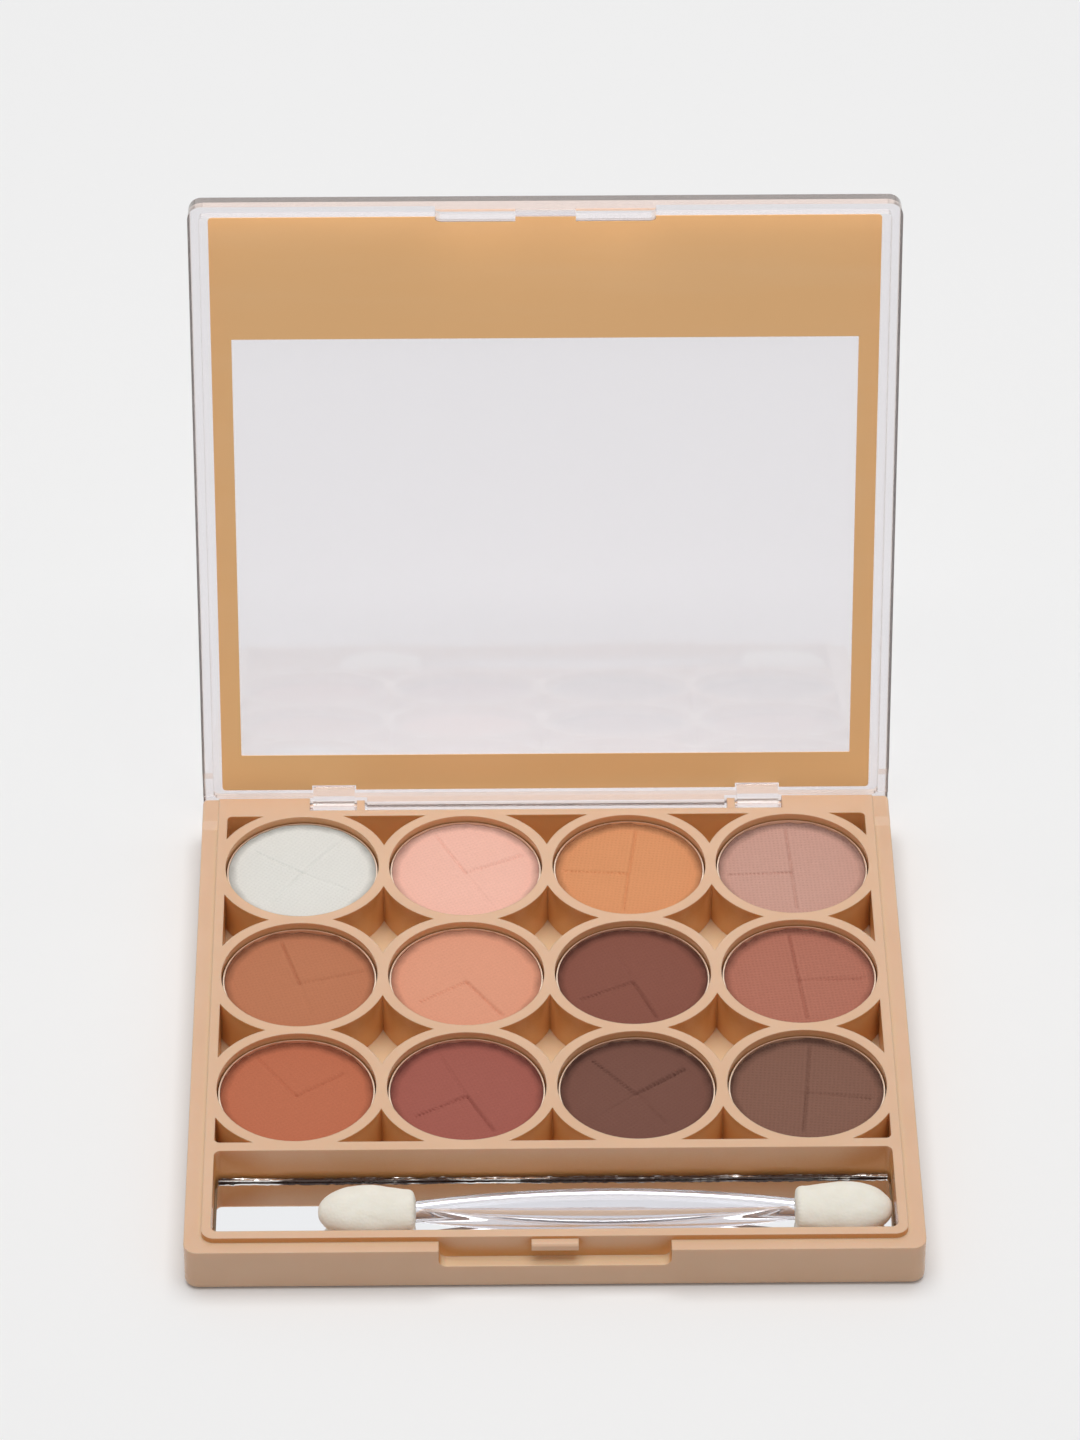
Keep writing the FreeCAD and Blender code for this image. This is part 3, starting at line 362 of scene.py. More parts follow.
@dataclass(frozen=True)
class PrintedFilm(Finish):
    """Screen-printed film: an ochre print with faint streaks from the squeegee, and painted light that makes
    it lighter towards the bottom.
    """

    upper: str
    # The bottom colour is lighter than the top one: painted light against the shade at the bottom.
    lower_with_painted_light: str
    height: Range
    streak: str = "#FBD09C"
    streak_mm: float = 5.0
    streak_stretch: tuple[float, float, float] = (0.12, 1.0, 1.0)
    streak_level: Range = (0.45, 0.75)
    streak_share: float = 0.22

    def lay(self, tree: NodeTree, place: NodeSocket) -> dict[str, Feed]:
        """Lays the print with painted light, lighter at the bottom and changing slowly to the top, and faint
        streaks across it.

        Args:
            tree: The material's nodes.
            place: Object coordinates.

        Returns:
            What the shader is fed, by input name.
        """
        axes = put(tree, "ShaderNodeSeparateXYZ", {0: place})
        ink_with_painted_light = blend(tree, spread(tree, axes.outputs[2], self.height), linear(self.lower_with_painted_light), linear(self.upper))
        drawn = put(tree, "ShaderNodeMapping", {0: place, 3: self.streak_stretch}).outputs[0]
        streaks = noise(tree, drawn, self.streak_mm, 4.0)
        pale = spread(tree, streaks, self.streak_level, (0.0, self.streak_share))
        return {"Base Color": blend(tree, pale, ink_with_painted_light, linear(self.streak)), "Roughness": 0.4, "IOR": 1.48}


@dataclass(frozen=True)
class PressedPowder(Finish):
    """Talc cake pressed through cloth: dead matt, with a linen print, and a painted shade on its ragged rim.
    """

    colour: str
    centre: Vector
    turn: float
    weave: float
    # The real cloth has a thread every 0.4 mm; it is drawn a little coarser so that it shows.
    thread_mm: float = 0.6
    thread_wander: float = 0.5
    thread_shade: float = 0.55
    print_depth: float = 0.1 * MM
    speck_mm: float = 0.3
    patch_mm: float = 4.0
    pale: float = 1.1
    deep: float = 0.94
    # The rim darkens by painted shade where the cake meets and climbs the pan's wall.
    rim: Range = (10.6 * MM, 11.7 * MM)
    rim_ragged: float = 1.2 * MM
    rim_painted_shade: float = 0.5
    rim_shade_share: float = 0.8

    def shade(self, share: float) -> Colour:
        """Gives the cake's colour, made lighter or darker by a share."""
        return (*(Vector(linear(self.colour)[:3]) * share), 1.0)

    def lay(self, tree: NodeTree, place: NodeSocket) -> dict[str, Feed]:
        """Lays the cake's colour, its fine specks, its cloth print and a painted shade on its ragged rim.

        Args:
            tree: The material's nodes.
            place: Object coordinates.

        Returns:
            What the shader is fed, by input name.
        """
        at = put(tree, "ShaderNodeMapping", {0: place, 1: self.centre, 2: (0.0, 0.0, self.turn)},
                 vector_type="TEXTURE").outputs[0]
        threads = {"Vector": at, "Scale": wave_scale(self.thread_mm), "Distortion": self.thread_wander}
        warp = put(tree, "ShaderNodeTexWave", threads, bands_direction="X")
        weft = put(tree, "ShaderNodeTexWave", threads, bands_direction="Y")
        cloth = put(tree, "ShaderNodeMath", {0: warp.outputs[1], 1: weft.outputs[1]},
                    operation="MULTIPLY").outputs[0]
        specks = noise(tree, at, self.speck_mm, 3.0)
        patches = noise(tree, at, self.patch_mm, 2.0)
        flat = put(tree, "ShaderNodeVectorMath", {0: at, 1: (1.0, 1.0, 0.0)}, operation="MULTIPLY")
        radius = put(tree, "ShaderNodeVectorMath", {0: flat.outputs[0]}, operation="LENGTH").outputs["Value"]
        ragged = put(tree, "ShaderNodeMath", {0: patches, 1: self.rim_ragged, 2: radius},
                     operation="MULTIPLY_ADD").outputs[0]
        # Painted shade darkens the ragged rim.
        rim = spread(tree, ragged, self.rim, (0.0, self.rim_shade_share))
        printed = put(tree, "ShaderNodeMath", {0: cloth, 1: -self.thread_shade * self.weave, 2: specks},
                      operation="MULTIPLY_ADD").outputs[0]
        dust = blend(tree, printed, self.shade(self.deep), self.shade(self.pale))
        height = put(tree, "ShaderNodeMath", {0: cloth, 1: self.weave, 2: specks},
                     operation="MULTIPLY_ADD").outputs[0]
        return {"Base Color": blend(tree, rim, dust, self.shade(self.rim_painted_shade)),
                "Normal": relief(tree, height, 0.6, self.print_depth), "Roughness": 0.95,
                "Specular IOR Level": 0.2}


@dataclass(frozen=True)
class PressedAluminium(Finish):
    """Bright aluminium, deep-drawn: a soft shine that the drawing left a little patchy."""

    colour: str
    patch_mm: float = 0.6
    gloss: Range = (0.3, 0.5)

    def lay(self, tree: NodeTree, place: NodeSocket) -> dict[str, Feed]:
        """Lays a metal with fine patches in its shine.

        Args:
            tree: The material's nodes.
            place: Object coordinates.

        Returns:
            What the shader is fed, by input name.
        """
        patches = noise(tree, place, self.patch_mm, 2.0)
        return {"Roughness": spread(tree, patches, given=self.gloss), "Base Color": linear(self.colour),
                "Metallic": 1.0}


@dataclass(frozen=True)
class SilveredGlass(Finish):
    """Thin mirror glass cut from a sheet: a clean silvered face and dull brown edges."""

    face: str = "#F1F2F4"
    edge: str = "#5A4A3E"
    edge_upward: Range = (0.9, 0.5)
    gloss: Range = (0.015, 0.45)

    def lay(self, tree: NodeTree, place: NodeSocket) -> dict[str, Feed]:
        """Lays the mirror face on top and a dull edge round it.

        Args:
            tree: The material's nodes.
            place: Object coordinates.

        Returns:
            What the shader is fed, by input name.
        """
        facing = put(tree, "ShaderNodeNewGeometry", {})
        axes = put(tree, "ShaderNodeSeparateXYZ", {0: facing.outputs["Normal"]})
        edge = spread(tree, axes.outputs[2], self.edge_upward)
        return {"Base Color": blend(tree, edge, linear(self.face), linear(self.edge)),
                "Roughness": spread(tree, edge, given=self.gloss), "Metallic": 1.0}


@dataclass(frozen=True)
class GroundEdge(Finish):
    """A rough-cut glass edge: dark brown inside, with bright chips of silvering along it."""

    dark: str = "#46322A"
    silver: str = "#F3EFEA"
    chip_mm: float = 0.6
    chip_stretch: tuple[float, float, float] = (0.05, 1.0, 1.0)
    chip_level: Range = (0.52, 0.58)
    chip_depth: float = 0.2 * MM

    def lay(self, tree: NodeTree, place: NodeSocket) -> dict[str, Feed]:
        """Lays long chips of silver on a dark glossy edge.

        Args:
            tree: The material's nodes.
            place: Object coordinates.

        Returns:
            What the shader is fed, by input name.
        """
        drawn = put(tree, "ShaderNodeMapping", {0: place, 3: self.chip_stretch}).outputs[0]
        chips = noise(tree, drawn, self.chip_mm, 4.0)
        share = spread(tree, chips, self.chip_level)
        return {"Base Color": blend(tree, share, linear(self.dark), linear(self.silver)), "Metallic": share,
                "Normal": relief(tree, chips, 0.6, self.chip_depth), "Roughness": 0.2}


@dataclass(frozen=True)
class LatexFoam(Finish):
    """Fine-celled latex foam: ivory, dead matt, with open pores."""

    light: str
    dark: str
    # The pores are drawn coarser than the real cells, so that they show.
    pore_mm: float = 0.45
    pore_depth: float = 0.1 * MM
    lump_mm: float = 2.2

    def lay(self, tree: NodeTree, place: NodeSocket) -> dict[str, Feed]:
        """Lays the foam's colour and its pores.

        Args:
            tree: The material's nodes.
            place: Object coordinates.

        Returns:
            What the shader is fed, by input name.
        """
        cells = put(tree, "ShaderNodeTexVoronoi", {"Vector": place, "Scale": per_metre(self.pore_mm)})
        lumps = noise(tree, place, self.lump_mm, 3.0)
        return {"Base Color": blend(tree, lumps, linear(self.light), linear(self.dark)),
                "Normal": relief(tree, cells.outputs[0], 0.3, self.pore_depth), "Roughness": 0.9,
                "Specular IOR Level": 0.25, "Subsurface Weight": 0.25,
                "Subsurface Radius": (1.5 * MM, 1.2 * MM, 0.9 * MM), "Subsurface Scale": 1.0}


@dataclass(frozen=True)
class AdhesiveTape(Finish):
    """White foam tape, sticky on both sides: dull and slightly mottled."""

    light: str
    dark: str
    mottle_mm: float = 1.5

    def lay(self, tree: NodeTree, place: NodeSocket) -> dict[str, Feed]:
        """Lays a mottled dull white.

        Args:
            tree: The material's nodes.
            place: Object coordinates.

        Returns:
            What the shader is fed, by input name.
        """
        mottle = noise(tree, place, self.mottle_mm, 2.0)
        return {"Base Color": blend(tree, mottle, linear(self.light), linear(self.dark)), "Roughness": 0.8}


def dress(node: str, material: Material) -> None:
    """Gives a CAD node its finish.

    Args:
        node: The node's name.
        material: The finish.
    """
    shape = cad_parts[node]
    for slot in shape.material_slots:
        slot.material = material
    LOG.info("%s dressed in %s", node, material.name)


def clear_selection() -> None:
    """Leaves edit mode and deselects everything."""
    if bpy.context.object and bpy.context.object.mode != "OBJECT":
        bpy.ops.object.mode_set(mode="OBJECT")
    bpy.ops.object.select_all(action="DESELECT")


def settle(piece: Object, name: str, body: Body, material: Material) -> None:
    """Names a finished piece, applies its place, dresses it and lets it ride.

    Args:
        piece: The new object.
        name: Its name.
        body: The body that it rides on.
        material: The finish.
    """
    clear_selection()
    piece.select_set(True)
    bpy.context.view_layer.objects.active = piece
    bpy.ops.object.transform_apply(location=True, rotation=True, scale=True)
    piece.name = name
    piece.data.name = name
    piece.data.materials.clear()
    piece.data.materials.append(material)
    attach(piece, body.value)
    LOG.info("%s made: %d faces", name, len(piece.data.polygons))


@dataclass
class Tray:
    """The moulded tray and the mirror taped in its trough."""

    # The last three colours are painted shade, a painted glow and painted light for the hollows.
    plastic: MouldedPlastic = MouldedPlastic("abs_moulded_tan", light="#E2BD9F", dark="#D9B292",
                                             wall="#CC8C50", painted_crevice_glow="#EBB87E", floor="#EACEA8")
    edge_width: float = 0.65 * MM
    edge_rise: float = 0.6 * MM
    edge_gap: float = 0.05 * MM
    edge_cuts: tuple[int, int] = (300, 4)
    chip_size: float = 0.9 * MM
    chip_depth: float = 0.35 * MM

    def build(self) -> None:
        """Dresses the tray and what is fixed in it, and cuts the mirror's rough back edge."""
        self.cut_edge()
        dress("base_tray", self.plastic.make())
        dress("mirror_strip", SilveredGlass("mirror_glass_cut").make())
        dress("mirror_tape", AdhesiveTape("foam_tape_white", "#E6E3DC", "#D5D1C8").make())

    def cut_edge(self) -> None:
        """Stands the mirror's rough-cut back edge up in the gap behind it."""
        low, high = (Vector(corner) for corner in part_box("mirror_strip"))
        clear_selection()
        length = high.x - low.x
        tall = high.z + self.edge_rise - low.z
        middle = ((low.x + high.x) / 2, high.y + self.edge_width / 2 + self.edge_gap, low.z + tall / 2)
        bpy.ops.mesh.primitive_grid_add(x_subdivisions=self.edge_cuts[0], y_subdivisions=self.edge_cuts[1],
                                        size=1.0, location=middle)
        edge = bpy.context.object
        edge.scale = (length, self.edge_width, 1.0)
        bpy.ops.object.transform_apply(location=False, rotation=False, scale=True)
        thick = edge.modifiers.new("thickness", "SOLIDIFY")
        thick.thickness = tall
        thick.offset = 0.0
        bpy.ops.object.modifier_apply(modifier=thick.name)
        chips = bpy.data.textures.new("edge_chips", "CLOUDS")
        chips.noise_scale = self.chip_size
        ragged = edge.modifiers.new("chips", "DISPLACE")
        ragged.texture = chips
        ragged.strength = -self.chip_depth
        ragged.mid_level = 0.0
        bpy.ops.object.modifier_apply(modifier=ragged.name)
        settle(edge, "mirror_cut_edge", Body.BASE, GroundEdge("glass_edge_cut").make())


class Press(Enum):
    """How a line is pressed into a cake."""

    PLAIN = "plain"
    STITCHED = "stitched"


@dataclass(frozen=True)
class Arm:
    """A pressed line from a cake's middle: its way in degrees, its sizes in mm and its kind.

    The face beside the line slopes up on one side and down on the other, by shares of the depth, and the
    whole is drawn a few times as deep as depth says.
    """

    way: float
    reach: float
    depth: float
    kind: Press = Press.PLAIN
    times_drawn: float = 2.0
    start_slope: float = 0.4
    end_slope: float = 0.8
    width: float = 0.24
    shoulder_width: float = 3.5
    shoulder_rise: float = 0.25
    shoulder_fall: float = 0.35
    stitch: float = 0.62
    stitch_side: float = 0.2
    stitch_width: float = 0.34
    stitch_share: float = 0.9
    stitch_line: float = 0.35

    def sink(self, across: np.ndarray, along: np.ndarray) -> np.ndarray:
        """Works out how far the line sinks the cake's face.

        Args:
            across: Places across the cake, in mm.
            along: Places along the cake, in mm.

        Returns:
            Heights in mm, below zero in the line.
        """
        turn = math.radians(self.way)
        out = across * math.cos(turn) + along * math.sin(turn)
        side = along * math.cos(turn) - across * math.sin(turn)
        begun = np.clip(out / self.start_slope + 0.5, 0, 1)
        length = begun * np.clip((self.reach - out) / self.end_slope + 0.5, 0, 1)
        line = np.exp(-(side / self.width) ** 2)
        slope = np.where(side > 0, self.shoulder_rise, -self.shoulder_fall)
        shoulder = np.clip(1 - np.abs(side) / self.shoulder_width, 0, 1) * slope
        if self.kind is Press.STITCHED:
            tick = 0.5 + 0.5 * np.sign(np.sin(2 * math.pi * out / self.stitch))
            thread = np.exp(-((side - self.stitch_side) / self.stitch_width) ** 4)
            line = self.stitch_line * line + self.stitch_share * tick * thread
        return self.times_drawn * self.depth * length * (shoulder - line)


@dataclass(frozen=True)
class Cake:
    """A pressed cake: its colour, how deep the cloth printed it, and its pressed lines."""

    colour: str
    weave: float
    arms: tuple[Arm, ...]


@dataclass
class Powders:
    """The twelve pans and their pressed cakes, by place.

    The collar is powder left on the pan's wall. It starts at a share of the cake's radius, and its ragged
    top is a sum of waves round the cake.
    """

    grid: int = 150
    wall: float = 1.2 * MM
    shoulder_limit_mm: float = 0.1
    collar_start: float = 0.965
    collar_width: float = 0.03
    collar_curve: float = 1.5
    collar_climb: float = 0.9
    relief_fade: float = 0.04
    crumb_waves: tuple[int, int] = (3, 40)
    crumb_share: float = 0.28
    crumb_least: float = 0.1
    cakes: dict[str, Cake] = field(default_factory=lambda: {
        "r1c1": Cake("#DDDCD6", 0.5, (Arm(145, 9.1, 0.1), Arm(53, 10, 0.07), Arm(237, 8.7, 0.07),
                                      Arm(-30, 9, 0.04))),
        "r1c2": Cake("#ECB8A7", 0.5, (Arm(117, 10.2, 0.12), Arm(24.5, 9.8, 0.1, Press.STITCHED),
                                      Arm(-62, 8.6, 0.05))),
        "r1c3": Cake("#D59265", 0.6, (Arm(82.5, 10.2, 0.11), Arm(175.5, 10, 0.11, Press.STITCHED),
                                      Arm(264, 9, 0.1))),
        "r1c4": Cake("#C69A8C", 1.0, (Arm(93, 10.3, 0.11), Arm(182, 10, 0.12, Press.STITCHED),
                                      Arm(-87, 8.7, 0.1))),
        "r2c1": Cake("#B87757", 0.5, (Arm(107, 10, 0.14), Arm(15.5, 10.2, 0.08, Press.STITCHED),
                                      Arm(-75, 8, 0.04))),
        "r2c2": Cake("#DB997D", 0.4, (Arm(213, 8.5, 0.1, Press.STITCHED), Arm(-55, 9.5, 0.14))),
        "r2c3": Cake("#845245", 0.5, (Arm(206, 8.9, 0.12, Press.STITCHED), Arm(-67, 8.9, 0.14),
                                      Arm(109, 6.6, 0.06))),
        "r2c4": Cake("#B0715F", 1.2, (Arm(96, 10.5, 0.14), Arm(-84, 8.8, 0.12),
                                      Arm(2, 10, 0.1, Press.STITCHED))),
        "r3c1": Cake("#BA6D50", 0.4, (Arm(125, 10.5, 0.1), Arm(35, 8.8, 0.09, Press.STITCHED))),
        "r3c2": Cake("#9F5C51", 0.5, (Arm(114, 10.2, 0.08), Arm(-63, 8.8, 0.15),
                                      Arm(210, 8.9, 0.13, Press.STITCHED))),
        "r3c3": Cake("#754F44", 0.5, (Arm(130, 10.2, 0.13, Press.STITCHED),
                                      Arm(36, 9.2, 0.15, Press.STITCHED), Arm(-57, 7.9, 0.07),
                                      Arm(220, 7.2, 0.05))),
        "r3c4": Cake("#825D4F", 1.2, (Arm(85, 10.3, 0.11), Arm(264, 8.4, 0.14),
                                      Arm(-8, 9.8, 0.1, Press.STITCHED))),
    })

    def build(self) -> None:
        """Dresses the pans and presses the cakes."""
        metal = PressedAluminium("aluminium_drawn", "#EAD5C0").make()
        for place, cake in self.cakes.items():
            dress(f"pan_{place}", metal)
            low, high = (Vector(corner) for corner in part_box(f"powder_{place}"))
            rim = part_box(f"pan_{place}")[1][2]
            middle = Vector(((low.x + high.x) / 2, (low.y + high.y) / 2, high.z))
            piece = self.press(cake, (high.x - low.x) / 2, float(rim) - high.z, place)
            piece.location = middle
            finish = PressedPowder(f"pressed_powder_{place}", cake.colour, middle,
                                   math.radians(cake.arms[0].way), cake.weave)
            settle(piece, f"pressed_cake_{place}", Body.BASE, finish.make())
            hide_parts(f"powder_{place}")

    def press(self, cake: Cake, radius: float, depth: float, place: str) -> Object:
        """Presses one cake: a fine square grid rounded to a disc, sunk along its lines, with a wall below.

        Args:
            cake: The cake's pressed lines.
            radius: Its radius.
            depth: How far the cake's face lies below the pan's rim.
            place: Its place, which seeds the crumbs on the pan's wall.

        Returns:
            The cake, with the middle of its face at the origin.
        """
        clear_selection()
        bpy.ops.mesh.primitive_grid_add(x_subdivisions=self.grid, y_subdivisions=self.grid, size=2.0)
        piece = bpy.context.object
        count = len(piece.data.vertices)
        spots = np.empty(count * 3)
        piece.data.vertices.foreach_get("co", spots)
        spots = spots.reshape(count, 3)
        square = spots[:, :2].copy()
        spots[:, 0] = square[:, 0] * np.sqrt(1 - square[:, 1] ** 2 / 2)
        spots[:, 1] = square[:, 1] * np.sqrt(1 - square[:, 0] ** 2 / 2)
        across = spots[:, 0] * radius / MM
        along = spots[:, 1] * radius / MM
        sunk = sum(arm.sink(across, along) for arm in cake.arms)
        sunk = np.minimum(sunk, self.shoulder_limit_mm)
        seed = np.random.default_rng(int(place[1]) * 10 + int(place[3]))
        first, last = self.crumb_waves
        waves = seed.uniform(0, 2 * math.pi, last)
        angle = np.arctan2(along, across)
        crumbs = sum(np.sin(number * angle + waves[number]) / (4 + number) ** 0.6
                     for number in range(first, last))
        share = np.clip(0.5 + self.crumb_share * crumbs, self.crumb_least, 1.0)
        reach = np.hypot(across, along) / (radius / MM)
        collar = np.clip((reach - self.collar_start) / self.collar_width, 0, 1) ** self.collar_curve
        fade = np.clip((self.collar_start - reach) / self.relief_fade, 0, 1)
        spots[:, 0] *= radius
        spots[:, 1] *= radius
        spots[:, 2] = sunk * fade * MM + collar * share * self.collar_climb * depth
        piece.data.vertices.foreach_set("co", spots.ravel())
        piece.data.update()
        bpy.ops.object.mode_set(mode="EDIT")
        bpy.ops.mesh.select_all(action="DESELECT")
        bpy.ops.mesh.select_non_manifold()
        bpy.ops.mesh.extrude_region_move(TRANSFORM_OT_translate={"value": (0.0, 0.0, -self.wall)})
        bpy.ops.transform.resize(value=(1.0, 1.0, 0.0))
        bpy.ops.mesh.edge_face_add()
        bpy.ops.mesh.select_all(action="SELECT")
        bpy.ops.mesh.normals_make_consistent(inside=False)
        bpy.ops.object.mode_set(mode="OBJECT")
        bpy.ops.object.shade_smooth_by_angle(angle=math.radians(50))
        return piece


@dataclass
class Applicator:
    """The clear stick with a sponge tip on each end."""

    tip_length: float = 14.4 * MM
    tip_width: float = 10.0 * MM
    tip_thickness: float = 6.0 * MM
    stick_length: float = 54.3 * MM
    stick_tuck: float = 6.0 * MM
    stick_neck: float = 2.6 * MM
    stick_middle: float = 7.4 * MM
    stick_thickness: float = 2.6 * MM
    stick_edge: float = 0.9 * MM
    stick_cuts: int = 96
    # Along the tip from its cut end: the share of its length, and of its full width there.
    form: tuple[Range, ...] = ((0.0, 0.84), (0.12, 0.8), (0.3, 0.92), (0.5, 1.0), (0.7, 0.93), (0.86, 0.72),
                               (0.96, 0.42), (0.992, 0.2))
    tip_sides: int = 32
    tip_inset: float = 0.35 * MM
    lump_size: float = 2.5 * MM
    lump_height: float = 0.25 * MM
    lump_level: float = 0.6

    def build(self) -> None:
        """Builds the stick and both tips."""
        stick = self.shape_stick()
        settle(stick, "clear_stick", Body.APPLICATOR,
               ClearStyrene("styrene_clear_stick", tint="#E4E3E8", roughness=0.04, wave=0.02).make())
        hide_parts("applicator_handle")
        stick.visible_shadow = False
        foam = LatexFoam("latex_foam_ivory", "#F1EDE2", "#E6E0D2").make()
        right = self.shape_tip()
        left = right.copy()
        left.data = right.data.copy()
        bpy.context.collection.objects.link(left)
        left.rotation_euler = (0.0, 0.0, math.pi)
        for piece, side in ((right, "right"), (left, "left")):
            node = f"applicator_tip_{side}"
            low, high = (Vector(corner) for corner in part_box(node))
            middle = (low + high) / 2
            cut_end = low.x if side == "right" else high.x
            piece.location = (cut_end, middle.y, middle.z)
            settle(piece, f"sponge_tip_{side}", Body.APPLICATOR, foam)
            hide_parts(node)

    def shape_stick(self) -> Object:
        """Shapes the stick: a thin spindle between the tips, its long edges rounded over.

        Returns:
            The stick, in its place.
        """
        low, high = (Vector(corner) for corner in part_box("applicator_handle"))
        clear_selection()
        bpy.ops.mesh.primitive_grid_add(x_subdivisions=self.stick_cuts, y_subdivisions=1, size=1.0,
                                        location=(low + high) / 2)
        stick = bpy.context.object
        reach = self.stick_length / 2
        for vertex in stick.data.vertices:
            along = vertex.co.x * (self.stick_length + 2 * self.stick_tuck)
            swell = max(0.0, 1 - (along / reach) ** 2)
            width = self.stick_neck + (self.stick_middle - self.stick_neck) * swell
            vertex.co = (along, vertex.co.y * width, 0.0)
        thick = stick.modifiers.new("thickness", "SOLIDIFY")
        thick.thickness = self.stick_thickness
        thick.offset = 0.0
        bpy.ops.object.modifier_apply(modifier=thick.name)
        edges = stick.modifiers.new("edges", "BEVEL")
        edges.width = self.stick_edge
        edges.segments = 4
        edges.limit_method = "ANGLE"
        edges.angle_limit = math.radians(60)
        bpy.ops.object.modifier_apply(modifier=edges.name)
        bpy.ops.object.shade_smooth_by_angle(angle=math.radians(40))
        return stick

    def shape_tip(self) -> Object:
        """Shapes one sponge tip along +X from its cut end.

        Returns:
            The tip, at the origin.
        """
        clear_selection()
        bpy.ops.mesh.primitive_circle_add(vertices=self.tip_sides, radius=0.5, fill_type="NGON",
                                          rotation=(math.pi / 2, 0.0, math.pi / 2))
        tip = bpy.context.object
        bpy.ops.object.transform_apply(location=False, rotation=True, scale=False)
        bpy.ops.object.mode_set(mode="EDIT")
        bpy.ops.mesh.select_all(action="SELECT")
        first = self.form[0][1]
        bpy.ops.transform.resize(value=(1.0, first * self.tip_width, first * self.tip_thickness))
        for (before, small), (after, large) in zip(self.form[:-1], self.form[1:]):
            step = (after - before) * self.tip_length
            bpy.ops.mesh.extrude_region_move(TRANSFORM_OT_translate={"value": (step, 0.0, 0.0)})
            bpy.ops.transform.resize(value=(1.0, large / small, large / small))
        bpy.ops.mesh.select_all(action="DESELECT")
        bpy.ops.mesh.select_non_manifold()
        bpy.ops.mesh.edge_face_add()
        bpy.ops.mesh.inset(thickness=self.tip_inset)
        bpy.ops.mesh.select_all(action="SELECT")
        bpy.ops.mesh.normals_make_consistent(inside=False)
        bpy.ops.object.mode_set(mode="OBJECT")
        smooth = tip.modifiers.new("rounding", "SUBSURF")
        smooth.levels = 2
        smooth.render_levels = 2
        bpy.ops.object.modifier_apply(modifier=smooth.name)
        lumps = bpy.data.textures.new("foam_lumps", "CLOUDS")
        lumps.noise_scale = self.lump_size
        swell = tip.modifiers.new("lumps", "DISPLACE")
        swell.texture = lumps
        swell.strength = self.lump_height
        swell.mid_level = self.lump_level
        bpy.ops.object.modifier_apply(modifier=swell.name)
        bpy.ops.object.shade_smooth()
        return tip


@dataclass
class Lid:
    """The clear lid with the printed film on its inside."""

    # The film lies a hair off the plate, so that the two faces don't share one plane in the render.
    film_air: float = 0.02 * MM
    weld: float = 0.001 * MM

    def build(self) -> None:
        """Dresses the lid and lays its film."""
        dress("lid_shell", ClearMoulding("styrene_clear_lid").make())
        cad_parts["lid_shell"].visible_shadow = False
        low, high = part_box("lid_print")
        # The bottom colour is lighter: painted light against the shade there.
        film = PrintedFilm("film_printed_ochre", upper="#FAC588", lower_with_painted_light="#FDCB8E",
                           height=(float(low[2]), float(high[2])))
        frame = self.lay_film()
        settle(frame, "ink_frame", Body.LID, film.make())
        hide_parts("lid_print")

    def lay_film(self) -> Object:
        """Lays the film, a hair smaller all round than the CAD film that it stands for.

        Returns:
            The film, in its place.
        """
        clear_selection()
        frame = bpy.data.objects.new("film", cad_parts["lid_print"].data.copy())
        bpy.context.collection.objects.link(frame)
        frame.select_set(True)
        bpy.context.view_layer.objects.active = frame
        bpy.ops.object.mode_set(mode="EDIT")
        bpy.ops.mesh.select_all(action="SELECT")
        bpy.ops.mesh.remove_doubles(threshold=self.weld)
        bpy.ops.mesh.normals_make_consistent(inside=False)
        bpy.ops.transform.shrink_fatten(value=-self.film_air)
        bpy.ops.object.mode_set(mode="OBJECT")
        return frame


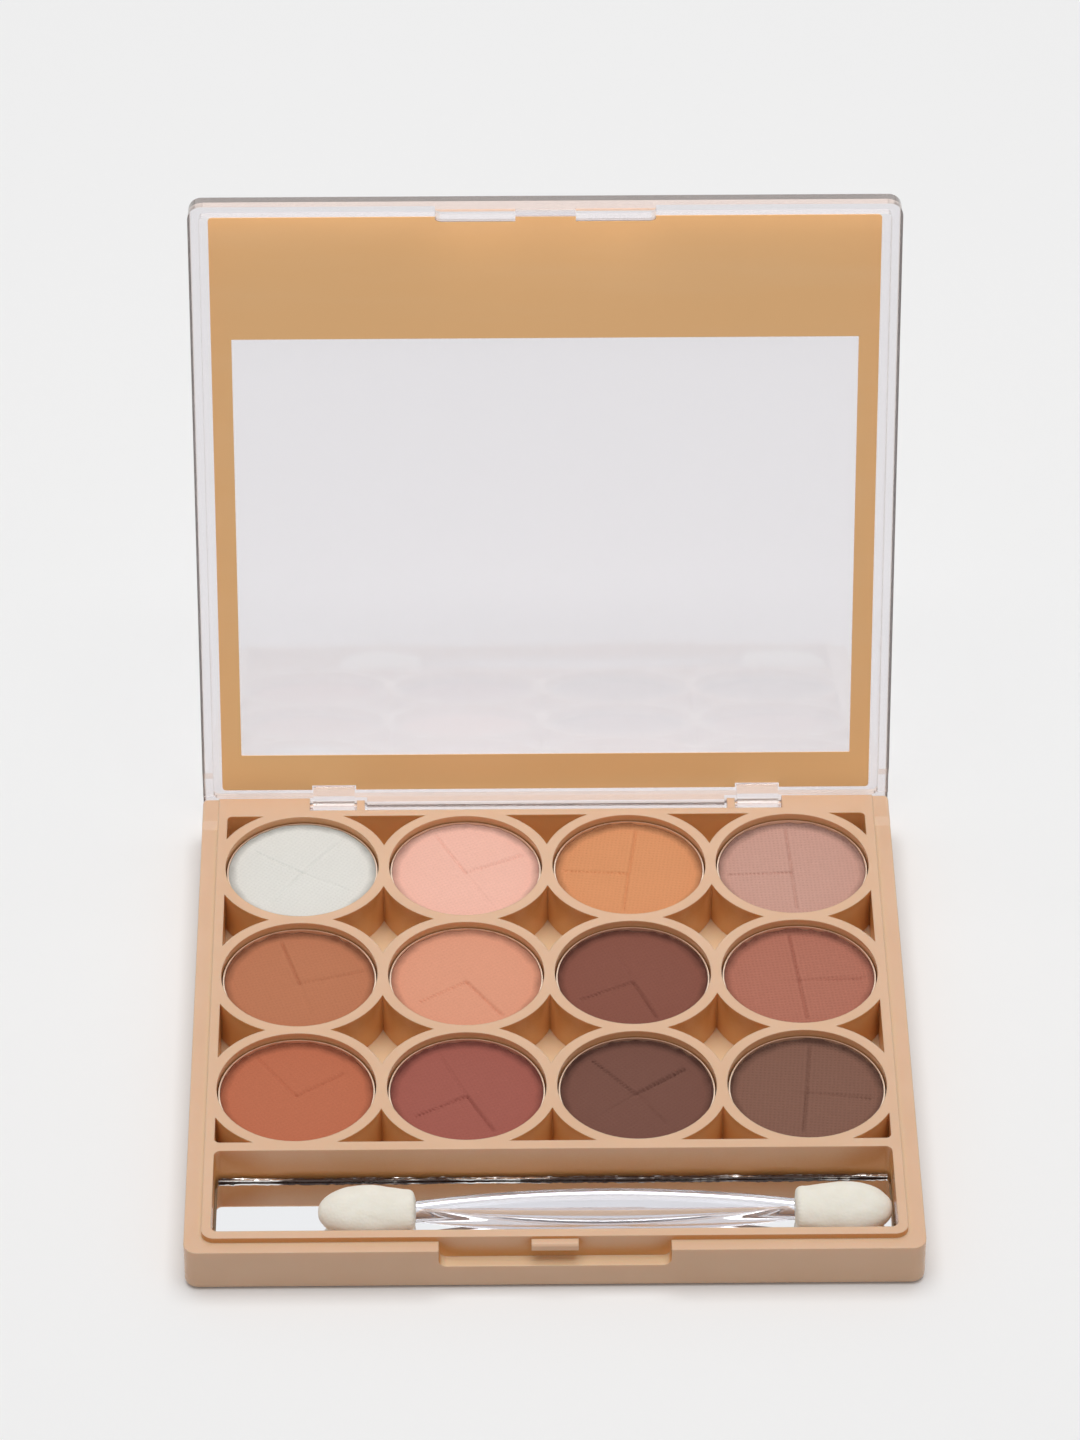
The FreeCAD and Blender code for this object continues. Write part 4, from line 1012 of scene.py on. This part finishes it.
@dataclass
class Studio:
    """The pale floor, the soft light and the camera."""

    pale: str = "#F4F4F4"
    bounce: str = "#D6D6D6"
    floor_size: float = 8.0
    sky: float = 0.4
    backdrop: float = 0.95
    lamp_watts: float = 17.2
    lamp_size: float = 1.3
    lamp_place: tuple[float, float, float] = (0.0, 0.12, 1.6)
    eye: Vector = Vector((-11.553, -695.612, 627.37)) * MM
    pitch: float = math.radians(39.003)
    yaw: float = math.radians(0.816)
    roll: float = math.radians(0.137)
    lens_mm: float = 156.2565
    sensor_mm: float = 36.0
    nearest: float = 0.01

    def build(self) -> None:
        """Lays the floor, hangs the light and stands the camera."""
        self.lay_floor()
        self.light()
        self.stand_camera()
        bpy.context.scene.view_settings.view_transform = "Standard"

    def lay_floor(self) -> None:
        """Lays a wide pale floor under the tray."""
        clear_selection()
        bpy.ops.mesh.primitive_plane_add(size=self.floor_size)
        floor = bpy.context.object
        floor.name = "floor"
        material = bpy.data.materials.new("paper_pale")
        material.use_nodes = True
        tree = material.node_tree
        shader = tree.nodes["Principled BSDF"]
        paper = blend(tree, self.seen(tree), linear(self.bounce), linear(self.pale))
        feed(tree, shader, {"Base Color": paper, "Roughness": 0.9, "Specular IOR Level": 0.0})
        floor.data.materials.append(material)

    def seen(self, tree: NodeTree) -> NodeSocket:
        """Tells rays that the camera, metal and glass see by from those that only light things.

        Args:
            tree: The floor's or the room's nodes.

        Returns:
            A socket that is 1 for a seen ray.
        """
        ray = put(tree, "ShaderNodeLightPath", {})
        shown = ray.outputs["Is Camera Ray"]
        for kind in ("Is Glossy Ray", "Is Transmission Ray"):
            either = {0: shown, 1: ray.outputs[kind]}
            shown = put(tree, "ShaderNodeMath", either, operation="MAXIMUM").outputs[0]
        return shown

    def light(self) -> None:
        """Hangs one wide lamp overhead in an even pale room."""
        world = bpy.data.worlds.new("room")
        bpy.context.scene.world = world
        world.use_nodes = True
        tree = world.node_tree
        tree.nodes.clear()
        strength = spread(tree, self.seen(tree), given=(self.sky, self.backdrop))
        room = put(tree, "ShaderNodeBackground", {0: (1.0, 1.0, 1.0, 1.0), 1: strength})
        put(tree, "ShaderNodeOutputWorld", {0: room.outputs[0]})
        lamp = bpy.data.lights.new("overhead", "AREA")
        lamp.energy = self.lamp_watts
        lamp.size = self.lamp_size
        hung = bpy.data.objects.new("overhead", lamp)
        hung.location = self.lamp_place
        bpy.context.collection.objects.link(hung)

    def stand_camera(self) -> None:
        """Stands the camera where the photograph was taken from."""
        lens = bpy.data.cameras.new("camera")
        lens.sensor_width = self.sensor_mm
        lens.lens = self.lens_mm
        lens.clip_start = self.nearest
        camera = bpy.data.objects.new("camera", lens)
        ahead = Vector((math.sin(self.yaw) * math.cos(self.pitch), math.cos(self.yaw) * math.cos(self.pitch),
                        -math.sin(self.pitch)))
        right = Vector((math.cos(self.yaw), -math.sin(self.yaw), 0.0))
        up = right.cross(ahead)
        tilted = right * math.cos(self.roll) + up * math.sin(self.roll)
        upright = up * math.cos(self.roll) - right * math.sin(self.roll)
        turn = Matrix((tilted, upright, -ahead)).transposed()
        camera.matrix_world = Matrix.Translation(self.eye) @ turn.to_4x4()
        bpy.context.collection.objects.link(camera)
        bpy.context.scene.camera = camera


def main() -> None:
    """Builds the palette and its studio."""
    logging.basicConfig(level=logging.INFO)
    for part in (Studio(), Tray(), Powders(), Applicator(), Lid()):
        part.build()


if __name__ == "__main__":
    main()
